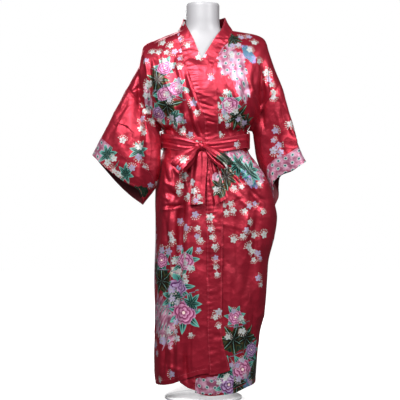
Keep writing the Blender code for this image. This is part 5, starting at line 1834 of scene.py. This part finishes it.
def lay_patches(tree, below, cloth):
    """Leaf-green, dotted mauve, stone and violet patches with broken edges."""
    grounds = add(tree, "Attribute", attribute_name="patches")
    depth = add(tree, "SeparateColor", grounds.outputs["Color"])
    ragged = add(tree, "TexNoise", cloth, 42.0, 3.0, 0.6)
    wander = add(tree, "Math MULTIPLY", add(tree, "Math SUBTRACT", ragged, 0.5), 1.5)
    edges = []
    for deep in (*depth.outputs, grounds.outputs["Alpha"]):
        frayed = add(tree, "Math ADD", deep, wander)
        edges.append(add(tree, "MapRange", frayed, 0.46, 0.52, **SMOOTH))
    cells = add(tree, "TexVoronoi", cloth, 95.0, feature="F1")
    leaf = add(tree, "ValToRGB", cells.outputs["Distance"])
    leaf.color_ramp.elements[0].color = hex_colour("4A5A3C")
    leaf.color_ramp.elements[1].color = hex_colour("15180F")
    leaf.color_ramp.elements[1].position = 0.55
    veins = add(tree, "TexWave", cloth, 70.0, 5.0, 2.0, 1.5)
    vein = add(tree, "MapRange", veins.outputs["Color"], 0.86, 0.93, **SMOOTH)
    dark = add(tree, "Mix", vein, leaf, hex_colour("0F5A48"), **COLOURS)
    # Dots stand in rows, each row slid by half a step
    row = add(tree, "SeparateXYZ", add(tree, "VectorMath MULTIPLY", cloth, (38.0, 44.0, 0.0)))
    odd = add(tree, "Math MULTIPLY", add(tree, "Math FLOOR", row.outputs[1]), 0.5)
    slid = add(tree, "Math ADD", row.outputs[0], odd)
    dx, dy = (
        add(tree, "Math SUBTRACT", add(tree, "Math FRACT", place), 0.5)
        for place in (slid, row.outputs[1])
    )
    away = add(tree, "VectorMath LENGTH", add(tree, "CombineXYZ", dx, dy)).outputs["Value"]
    blotch = add(tree, "MapRange", ragged, 0.4, 0.62, **SMOOTH)
    mauve = add(tree, "Mix", blotch, hex_colour("985470"), hex_colour("B98CA2"), **COLOURS)
    for wide, narrow, code in ((0.27, 0.22, "A3B3B0"), (0.17, 0.13, "1E6A70"), (0.08, 0.05, "17202A")):
        inside = add(tree, "MapRange", away, wide, narrow, **SMOOTH)
        mauve = add(tree, "Mix", inside, mauve, hex_colour(code), **COLOURS)
    blotch = add(tree, "MapRange", ragged, 0.5, 0.66, **SMOOTH)
    stone = add(tree, "Mix", blotch, hex_colour("C4B4A8"), hex_colour("8F8578"), **COLOURS)
    bars = add(tree, "TexWave", cloth, 60.0, 3.0, 2.0, 1.0)
    violet = add(tree, "Mix", bars, hex_colour("45246A"), hex_colour("3E9AA6"), **COLOURS)
    blotch = add(tree, "MapRange", ragged, 0.5, 0.64, **SMOOTH)
    violet = add(tree, "Mix", blotch, violet, hex_colour("A77FC0"), **COLOURS)
    for edge, ground in ((edges[1], mauve), (edges[3], violet), (edges[2], stone), (edges[0], dark)):
        below = add(tree, "Mix", edge, below, ground, **COLOURS)
    return below


def own_circle(tree, name):
    """A motif's own coordinates: its angle, its radius, its tint and how far off it is at most."""
    own = add(tree, "SeparateXYZ", add(tree, "Attribute", attribute_name=name).outputs["Vector"])
    x, y, tint = own.outputs
    angle = add(tree, "Math ARCTAN2", y, x)
    radius = add(tree, "VectorMath LENGTH", add(tree, "CombineXYZ", x, y)).outputs["Value"]
    reach = add(tree, "Attribute", attribute_name=name + "_reach").outputs["Fac"]
    return angle, radius, tint, reach


def lay_peonies(tree, below):
    """Pink and purple flowers of ruffled layers on pointed teal leaves; a tint over 1 leaves the
    flower out, and one over 1.5 makes the leaves olive."""
    angle, radius, tint, reach = own_circle(tree, "peony")
    near = add(tree, "MapRange", reach, 1.95, 1.9, **SMOOTH)
    turns = add(tree, "Math MULTIPLY", angle, 7 / (2 * math.pi))
    aside = add(tree, "Math PINGPONG", turns, 0.5)
    long = add(tree, "Math SINE", add(tree, "Math MULTIPLY", angle, 2.0))
    long = add(tree, "Math MULTIPLY_ADD", long, 0.18, 0.82)
    point = add(tree, "Math POWER", add(tree, "Math MULTIPLY_ADD", aside, -2.0, 1.0), 1.25)
    point = add(tree, "Math ADD", add(tree, "Math MULTIPLY", point, long), 0.78)
    inside = add(tree, "Math SUBTRACT", point, radius)
    leaf = add(tree, "MapRange", inside, 0.0, 0.04, **SMOOTH)
    leaf = add(tree, "Math MULTIPLY", leaf, near)
    vein = add(tree, "MapRange", aside, 0.03, 0.015, **SMOOTH)
    depth = add(tree, "MapRange", inside, 0.0, 0.5, **SMOOTH)
    teal = add(tree, "Mix", depth, hex_colour("4FA39A"), hex_colour("0D3B34"), **COLOURS)
    olive = add(tree, "Mix", depth, hex_colour("4A4A24"), hex_colour("15160E"), **COLOURS)
    dark = add(tree, "Math GREATER_THAN", tint, 1.5)
    green = add(tree, "Mix", dark, teal, olive, **COLOURS)
    green = add(tree, "Mix", vein, green, hex_colour("7FB8A8"), **COLOURS)
    colour = add(tree, "Mix", leaf, below, green, **COLOURS)
    rings = add(tree, "Math MULTIPLY", radius, 3.4)
    layer = add(tree, "Math FLOOR", rings)
    petals = add(tree, "Math MULTIPLY_ADD", layer, 0.5, 2.0)
    petals = add(tree, "Math ADD", add(tree, "Math MULTIPLY", angle, petals), layer)
    scallop = add(tree, "Math ABSOLUTE", add(tree, "Math SINE", petals))
    ruffle = add(tree, "Math SINE", add(tree, "Math MULTIPLY", angle, 17.0))
    edge = add(tree, "Math MULTIPLY_ADD", scallop, 0.16, 0.82)
    edge = add(tree, "Math MULTIPLY_ADD", ruffle, 0.025, edge)
    rim = add(tree, "Math SUBTRACT", edge, radius)
    flower = add(tree, "MapRange", rim, 0.0, 0.03, **SMOOTH)
    flower = add(tree, "Math MULTIPLY", flower, near)
    flower = add(tree, "Math MULTIPLY", flower, add(tree, "Math LESS_THAN", tint, 1.0))
    ring = add(tree, "Math FRACT", add(tree, "Math MULTIPLY_ADD", scallop, -0.45, rings))
    shade = add(tree, "MapRange", ring, 0.05, 0.95, **SMOOTH)
    pink = add(tree, "Mix", shade, hex_colour("8E2A60"), hex_colour("D592B8"), **COLOURS)
    pale = add(tree, "Mix", shade, hex_colour("5E2464"), hex_colour("B597C2"), **COLOURS)
    purple = add(tree, "MapRange", tint, 0.5, 0.52, **SMOOTH)
    petal = add(tree, "Mix", purple, pink, pale, **COLOURS)
    heart = add(tree, "MapRange", radius, 0.16, 0.1, **SMOOTH)
    petal = add(tree, "Mix", heart, petal, hex_colour("F0D8D0"), **COLOURS)
    return add(tree, "Mix", flower, colour, petal, **COLOURS)


def lay_blossoms(tree, below):
    """White and lilac five-petalled blossoms with buds fanned out on stalks."""
    angle, radius, tint, reach = own_circle(tree, "blossom")
    lobes = add(tree, "Math COSINE", add(tree, "Math MULTIPLY", angle, 2.5))
    lobes = add(tree, "Math POWER", add(tree, "Math ABSOLUTE", lobes), 0.55)
    edge = add(tree, "Math MULTIPLY_ADD", lobes, 0.62, 0.4)
    flower = add(tree, "MapRange", add(tree, "Math SUBTRACT", edge, radius), 0.0, 0.05, **SMOOTH)
    near = add(tree, "MapRange", reach, 1.12, 1.08, **SMOOTH)
    flower = add(tree, "Math MULTIPLY", flower, near)
    # Buds stand at even angles, and each has its own distance from the blossom
    spoke = add(tree, "Math ROUND", add(tree, "Math MULTIPLY", angle, 2.4))
    spoke = add(tree, "Math MULTIPLY", spoke, 1 / 2.4)
    aside = add(tree, "Math SUBTRACT", angle, spoke)
    uneven = add(tree, "Math SINE", add(tree, "Math MULTIPLY", spoke, 7.0))
    far = add(tree, "Math MULTIPLY_ADD", uneven, 0.16, 1.42)
    out = add(tree, "Math MULTIPLY", radius, add(tree, "Math COSINE", aside))
    off = add(tree, "Math MULTIPLY", radius, add(tree, "Math SINE", aside))
    bud = add(tree, "CombineXYZ", add(tree, "Math SUBTRACT", out, far), off)
    bud = add(tree, "VectorMath LENGTH", bud).outputs["Value"]
    bud = add(tree, "MapRange", bud, 0.17, 0.11, **SMOOTH)
    stalk = add(tree, "MapRange", add(tree, "Math ABSOLUTE", off), 0.055, 0.035, **SMOOTH)
    short = add(tree, "MapRange", add(tree, "Math SUBTRACT", far, out), 0.0, 0.05, **SMOOTH)
    stalk = add(tree, "Math MULTIPLY", stalk, short)
    fan = add(tree, "MapRange", add(tree, "Math ABSOLUTE", angle), 1.5, 1.35, **SMOOTH)
    near = add(tree, "MapRange", reach, 1.75, 1.7, **SMOOTH)
    fan = add(tree, "Math MULTIPLY", fan, near)
    buds = add(tree, "Math MULTIPLY", add(tree, "Math MAXIMUM", bud, stalk), fan)
    white = hex_colour("AEB3B1")
    for value, low, high, code in (
        (tint, 0.45, 0.8, "988EAB"), (lobes, 0.5, 0.2, "A58FB0"), (radius, 0.2, 0.12, "8A8C64"),
    ):
        share = add(tree, "MapRange", value, low, high, **SMOOTH)
        white = add(tree, "Mix", share, white, hex_colour(code), **COLOURS)
    colour = add(tree, "Mix", buds, below, hex_colour("BDB2AC"), **COLOURS)
    return add(tree, "Mix", flower, colour, white, **COLOURS)


def start_material(name, **constants):
    """A new material with its tree and shader; constants are the shader's own values."""
    material = bpy.data.materials.new(name)
    material.use_nodes = True
    shader = material.node_tree.nodes["Principled BSDF"]
    for key, value in constants.items():
        shader.inputs[key.replace("_", " ")].default_value = value
    return material, material.node_tree, shader


def join_shader(tree, shader, colour, height=None, strength=0.0, depth=0.0):
    """Links a colour to the shader and, where there is a height, its bump."""
    tree.links.new(colour.outputs[2], shader.inputs["Base Color"])
    if height:
        bump = add(tree, "Bump", strength, depth)
        tree.links.new(height, bump.inputs["Height"])
        tree.links.new(bump.outputs["Normal"], shader.inputs["Normal"])


def darker(colour, share):
    return (*(part * share for part in colour[:3]), 1.0)


def satin(name, printed, base, roughness=0.4, crinkle=0.38):
    """Polyester satin, woven with long floats: a deep red that flares to rose where a fold catches
    light, with a fine crinkle. Where the print is dark it stays dull."""
    material, tree, shader = start_material(name, Roughness=roughness, Anisotropic=0.3)
    shader.inputs["Specular IOR Level"].default_value = 1.0
    shader.inputs["Specular Tint"].default_value = hex_colour("FFD0DA")
    cloth = add(tree, "UVMap", uv_map="cloth")
    tone = add(tree, "MapRange", add(tree, "TexNoise", cloth, 14.0, 2.0, 0.5), 0.35, 0.7, **SMOOTH)
    colour = add(tree, "Mix", tone, base, darker(base, 0.82), **COLOURS)
    if printed:
        colour = lay_patches(tree, colour, cloth)
        colour = lay_peonies(tree, colour)
        colour = lay_blossoms(tree, colour)
    green = add(tree, "SeparateColor", colour.outputs[2]).outputs["Green"]
    lustre = add(tree, "MapRange", green, 0.04, 0.3, 0.62, 0.12)
    tree.links.new(lustre.outputs[0], shader.inputs["Metallic"])
    place = add(tree, "TexCoord").outputs["Object"]
    warp = add(tree, "TexNoise", place, 16.0, 2.0, 0.5)
    warped = add(tree, "VectorMath MULTIPLY_ADD", warp.outputs["Color"], (0.03, 0.03, 0.03), place)
    facets = add(tree, "TexVoronoi", warped, 34.0)
    fine = add(tree, "TexNoise", place, 75.0, 3.0, 0.55, None, 0.8)
    height = add(tree, "Math MULTIPLY_ADD", fine, 0.5, facets.outputs["Distance"])
    join_shader(tree, shader, colour, height.outputs[0], crinkle, 0.004)
    return material


def dull_back(name, base):
    """The back of satin: the short floats face inwards, so it is matt and paler where the dye is thin."""
    material, tree, shader = start_material(name, Roughness=0.7)
    tone = add(tree, "TexNoise", add(tree, "UVMap", uv_map="cloth"), 30.0, 3.0, 0.6)
    join_shader(tree, shader, add(tree, "Mix", tone, base, darker(base, 0.7), **COLOURS))
    return material


def thread(name, base):
    """Spun polyester thread: a little lighter than the satin, with a soft sheen and no bright flares."""
    material, tree, shader = start_material(name, Roughness=0.55, Sheen_Weight=0.2)
    tone = add(tree, "TexNoise", add(tree, "TexCoord").outputs["Object"], 400.0, 2.0, 0.5)
    join_shader(tree, shader, add(tree, "Mix", tone, base, hex_colour("D85A6C"), **COLOURS))
    return material


def moulded_shell(name, base):
    """Glass-fibre shell sprayed with white gelcoat: smooth, slightly glossy, with a faint orange peel."""
    material, tree, shader = start_material(name, Roughness=0.42, IOR=1.5)
    place = add(tree, "TexCoord").outputs["Object"]
    tone = add(tree, "TexNoise", place, 9.0, 2.0, 0.5)
    colour = add(tree, "Mix", tone, base, darker(base, 0.94), **COLOURS)
    peel = add(tree, "TexNoise", place, 160.0, 2.0, 0.5)
    join_shader(tree, shader, colour, peel.outputs[0], 0.08, 0.0005)
    return material


def coated_steel(name):
    """Steel with white powder coat: satin, with a fine pebbled skin."""
    material, tree, shader = start_material(name, Roughness=0.42)
    place = add(tree, "TexCoord").outputs["Object"]
    tone = add(tree, "TexNoise", place, 20.0, 2.0, 0.5)
    colour = add(tree, "Mix", tone, hex_colour("ECECEE"), hex_colour("DEDEE0"), **COLOURS)
    pebble = add(tree, "TexVoronoi", place, 900.0)
    join_shader(tree, shader, colour, pebble.outputs["Distance"], 0.2, 0.0002)
    return material


def pale_floor(name):
    """Matt studio paper: near white, with a glow that grows outwards until it meets the white behind."""
    material, tree, shader = start_material(name, Roughness=0.8, Emission_Color=(1, 1, 1, 1))
    place = add(tree, "TexCoord").outputs["Object"]
    tone = add(tree, "TexNoise", place, 3.0, 2.0, 0.5)
    join_shader(tree, shader, add(tree, "Mix", tone, hex_colour("F7F7F7"), hex_colour("FCFCFC"), **COLOURS))
    away = add(tree, "VectorMath LENGTH", place)
    glow = add(tree, "MapRange", away.outputs["Value"], 0.3, 2.2, 0.45, 0.98, **SMOOTH)
    tree.links.new(glow.outputs[0], shader.inputs["Emission Strength"])
    return material


# Lights: name, place, the place it looks at, size and power; the last one lights the base under the skirt
LIGHTS = (
    ("key", (-0.8, -2.3, 2.7), (0, 0, 0.9), 1.2, 122.0),
    ("fill", (2.1, -2.4, 2.3), (0, 0, 0.9), 1.2, 84.0),
    ("front", (-0.3, -4.4, 1.9), (0, 0, 0.8), 0.9, 28.0),
    ("back", (-0.8, 3.2, 2.2), (0, 0, 0.8), 1.6, 60.0),
    ("under", (0, 0, 0.05), (0, 0, 0), 0.22, 0.14),
)
WORLD_FILL = 0.1


def build_stage(studio):
    """A pale floor that glows towards its far edge, the lights, a white world and the camera."""
    deselect()
    bpy.ops.mesh.primitive_plane_add(size=14, location=(0, 0, -0.0005))
    floor = bpy.context.object
    floor.name = "floor"
    bpy.ops.object.transform_apply(location=True)
    floor.data.materials.append(pale_floor("pale floor"))
    floor.visible_diffuse = floor.visible_glossy = False
    for name, place, target, size, power in LIGHTS:
        data = bpy.data.lights.new(name, "AREA")
        data.size = size
        data.energy = power
        light = bpy.data.objects.new(name, data)
        bpy.context.scene.collection.objects.link(light)
        light.location = place
        aim = Vector(target) - Vector(place)
        light.rotation_euler = aim.to_track_quat("-Z", "Y").to_euler()
    world = bpy.data.worlds.new("white studio")
    world.use_nodes = True
    tree = world.node_tree
    rays = add(tree, "LightPath")
    strength = add(tree, "MapRange", rays.outputs["Is Camera Ray"], 0.0, 1.0, WORLD_FILL, 1.0)
    tree.links.new(strength.outputs[0], tree.nodes["Background"].inputs["Strength"])
    tree.nodes["Background"].inputs["Color"].default_value = (1, 1, 1, 1)
    bpy.context.scene.world = world
    lens = bpy.data.cameras.new("camera")
    lens.sensor_width = 36
    lens.lens = lens.sensor_width * studio.distance / studio.picture_width
    camera = bpy.data.objects.new("camera", lens)
    bpy.context.scene.collection.objects.link(camera)
    camera.location = (studio.picture_x, -studio.distance, studio.picture_z)
    camera.rotation_euler = (math.pi / 2, 0, 0)
    bpy.context.scene.camera = camera
    bpy.context.scene.view_settings.view_transform = "Standard"


def millimetres(name, description, default):
    return bpy.props.FloatProperty(name=name, description=description + " in mm", default=default)


def metres(name, description, default):
    return bpy.props.FloatProperty(name=name, description=description, default=default, unit="LENGTH")


def colour_of(name, description, code):
    return bpy.props.FloatVectorProperty(
        name=name, description=description, size=4, subtype="COLOR", min=0, max=1,
        default=hex_colour(code),
    )


class KimonoSizes(bpy.types.PropertyGroup):
    """Sizes of the cloth, in millimetres."""

    cloth: millimetres("Cloth", "Thickness of a panel", 0.8)
    folded: millimetres("Folded cloth", "Thickness of a band", 1.9)
    strip: millimetres("Sash cloth", "Thickness of the sash's ends", 1.4)
    crumpling: millimetres("Crumpling", "Depth of the fine creases", 1.3)
    puckers: millimetres("Puckers", "Depth of the band's puckers", 0.9)
    knot_folds: millimetres("Knot folds", "Depth of the knot's folds", 1.5)


class KimonoColours(bpy.types.PropertyGroup):
    """Colours of the cloth and the form."""

    satin: colour_of("Satin", "Ground colour of the satin", "A61E33")
    inside: colour_of("Inside", "Dull side of the satin", "7A2230")
    shell: colour_of("Shell", "The dress form", "A3A2A5")


class KimonoStudio(bpy.types.PropertyGroup):
    """The camera."""

    distance: metres("Distance", "From the camera to the middle of the robe", 4.0)
    picture_width: metres("Picture width", "Width that the picture takes in at the robe", 1.36)
    picture_x: metres("Picture middle", "Where the picture's middle lies across", -0.0119)
    picture_z: metres("Picture height", "Height of the picture's middle", 0.672)


class KIMONO_OT_materials(bpy.types.Operator):
    """Makes the satin, shell and steel materials"""

    bl_idname = "kimono.materials"
    bl_label = "Materials"

    def execute(self, context):
        colours = context.scene.kimono_colours
        ground = tuple(colours.satin)
        satin("printed satin", True, ground)
        satin("sleeve satin", True, ground, 0.5, 0.6)
        satin("cuff satin", True, ground, 0.45, 0.5)
        satin("plain satin", True, ground)
        satin("sash satin", True, ground)
        satin("knot satin", False, ground)
        dull_back("satin back", tuple(colours.inside))
        thread("polyester thread", ground)
        moulded_shell("moulded shell", tuple(colours.shell))
        coated_steel("powder-coated steel")
        return {"FINISHED"}


class KIMONO_OT_form(bpy.types.Operator):
    """Builds the limbless dress form and its stand"""

    bl_idname = "kimono.form"
    bl_label = "Form and stand"

    def execute(self, context):
        build_form()
        build_stand()
        return {"FINISHED"}


class KIMONO_OT_back(bpy.types.Operator):
    """Builds the back of the robe"""

    bl_idname = "kimono.back"
    bl_label = "Back"

    def execute(self, context):
        build_back(context.scene.kimono_sizes)
        return {"FINISHED"}


class KIMONO_OT_fronts(bpy.types.Operator):
    """Builds the two fronts"""

    bl_idname = "kimono.fronts"
    bl_label = "Fronts"

    def execute(self, context):
        for side, name in WEARER.items():
            build_front(side, f"front_{name}_cloth", context.scene.kimono_sizes)
        return {"FINISHED"}


class KIMONO_OT_sleeves(bpy.types.Operator):
    """Builds the two sleeves with their cuff bands"""

    bl_idname = "kimono.sleeves"
    bl_label = "Sleeves and cuffs"

    def execute(self, context):
        for side, name in WEARER.items():
            build_sleeve(side, name, context.scene.kimono_sizes)
        return {"FINISHED"}


class KIMONO_OT_bands(bpy.types.Operator):
    """Builds the two lengths of the front band"""

    bl_idname = "kimono.bands"
    bl_label = "Front bands"

    def execute(self, context):
        for side, name in WEARER.items():
            build_band(side, f"band_{name}_cloth", context.scene.kimono_sizes)
        return {"FINISHED"}


class KIMONO_OT_sash(bpy.types.Operator):
    """Builds the sash: its knot, waist, bow and carriers"""

    bl_idname = "kimono.sash"
    bl_label = "Sash"

    def execute(self, context):
        sizes = context.scene.kimono_sizes
        build_knot(sizes)
        build_belt(sizes)
        build_bow(sizes)
        for name, angle in CARRIER_ANGLES.items():
            build_carrier(name, angle, sizes)
        return {"FINISHED"}


class KIMONO_OT_stage(bpy.types.Operator):
    """Sets up the pale floor, the soft lights and the camera"""

    bl_idname = "kimono.stage"
    bl_label = "Studio"

    def execute(self, context):
        build_stage(context.scene.kimono_studio)
        return {"FINISHED"}


class KIMONO_PT_panel(bpy.types.Panel):
    """Lists the sizes, the colours and the pieces"""

    bl_idname = "KIMONO_PT_panel"
    bl_label = "Kimono robe"
    bl_space_type = "VIEW_3D"
    bl_region_type = "UI"
    bl_category = "Kimono"

    def draw(self, context):
        for group in (context.scene.kimono_sizes, context.scene.kimono_colours, context.scene.kimono_studio):
            for name in group.bl_rna.properties.keys():
                if name not in ("rna_type", "name"):
                    self.layout.prop(group, name)
        for operator in OPERATORS:
            self.layout.operator(operator.bl_idname)


OPERATORS = (
    KIMONO_OT_materials, KIMONO_OT_form, KIMONO_OT_back, KIMONO_OT_fronts, KIMONO_OT_sleeves,
    KIMONO_OT_bands, KIMONO_OT_sash, KIMONO_OT_stage,
)
CLASSES = (KimonoSizes, KimonoColours, KimonoStudio, *OPERATORS, KIMONO_PT_panel)
GROUPS = {"kimono_sizes": KimonoSizes, "kimono_colours": KimonoColours, "kimono_studio": KimonoStudio}


def register():
    for cls in CLASSES:
        bpy.utils.register_class(cls)
    for name, group in GROUPS.items():
        setattr(bpy.types.Scene, name, bpy.props.PointerProperty(type=group))


def unregister():
    for name in GROUPS:
        delattr(bpy.types.Scene, name)
    for cls in reversed(CLASSES):
        bpy.utils.unregister_class(cls)


def main():
    register()
    bpy.ops.kimono.materials()
    bpy.ops.kimono.form()
    bpy.ops.kimono.back()
    bpy.ops.kimono.fronts()
    bpy.ops.kimono.sleeves()
    bpy.ops.kimono.bands()
    bpy.ops.kimono.sash()
    bpy.ops.kimono.stage()


if __name__ == "__main__":
    main()
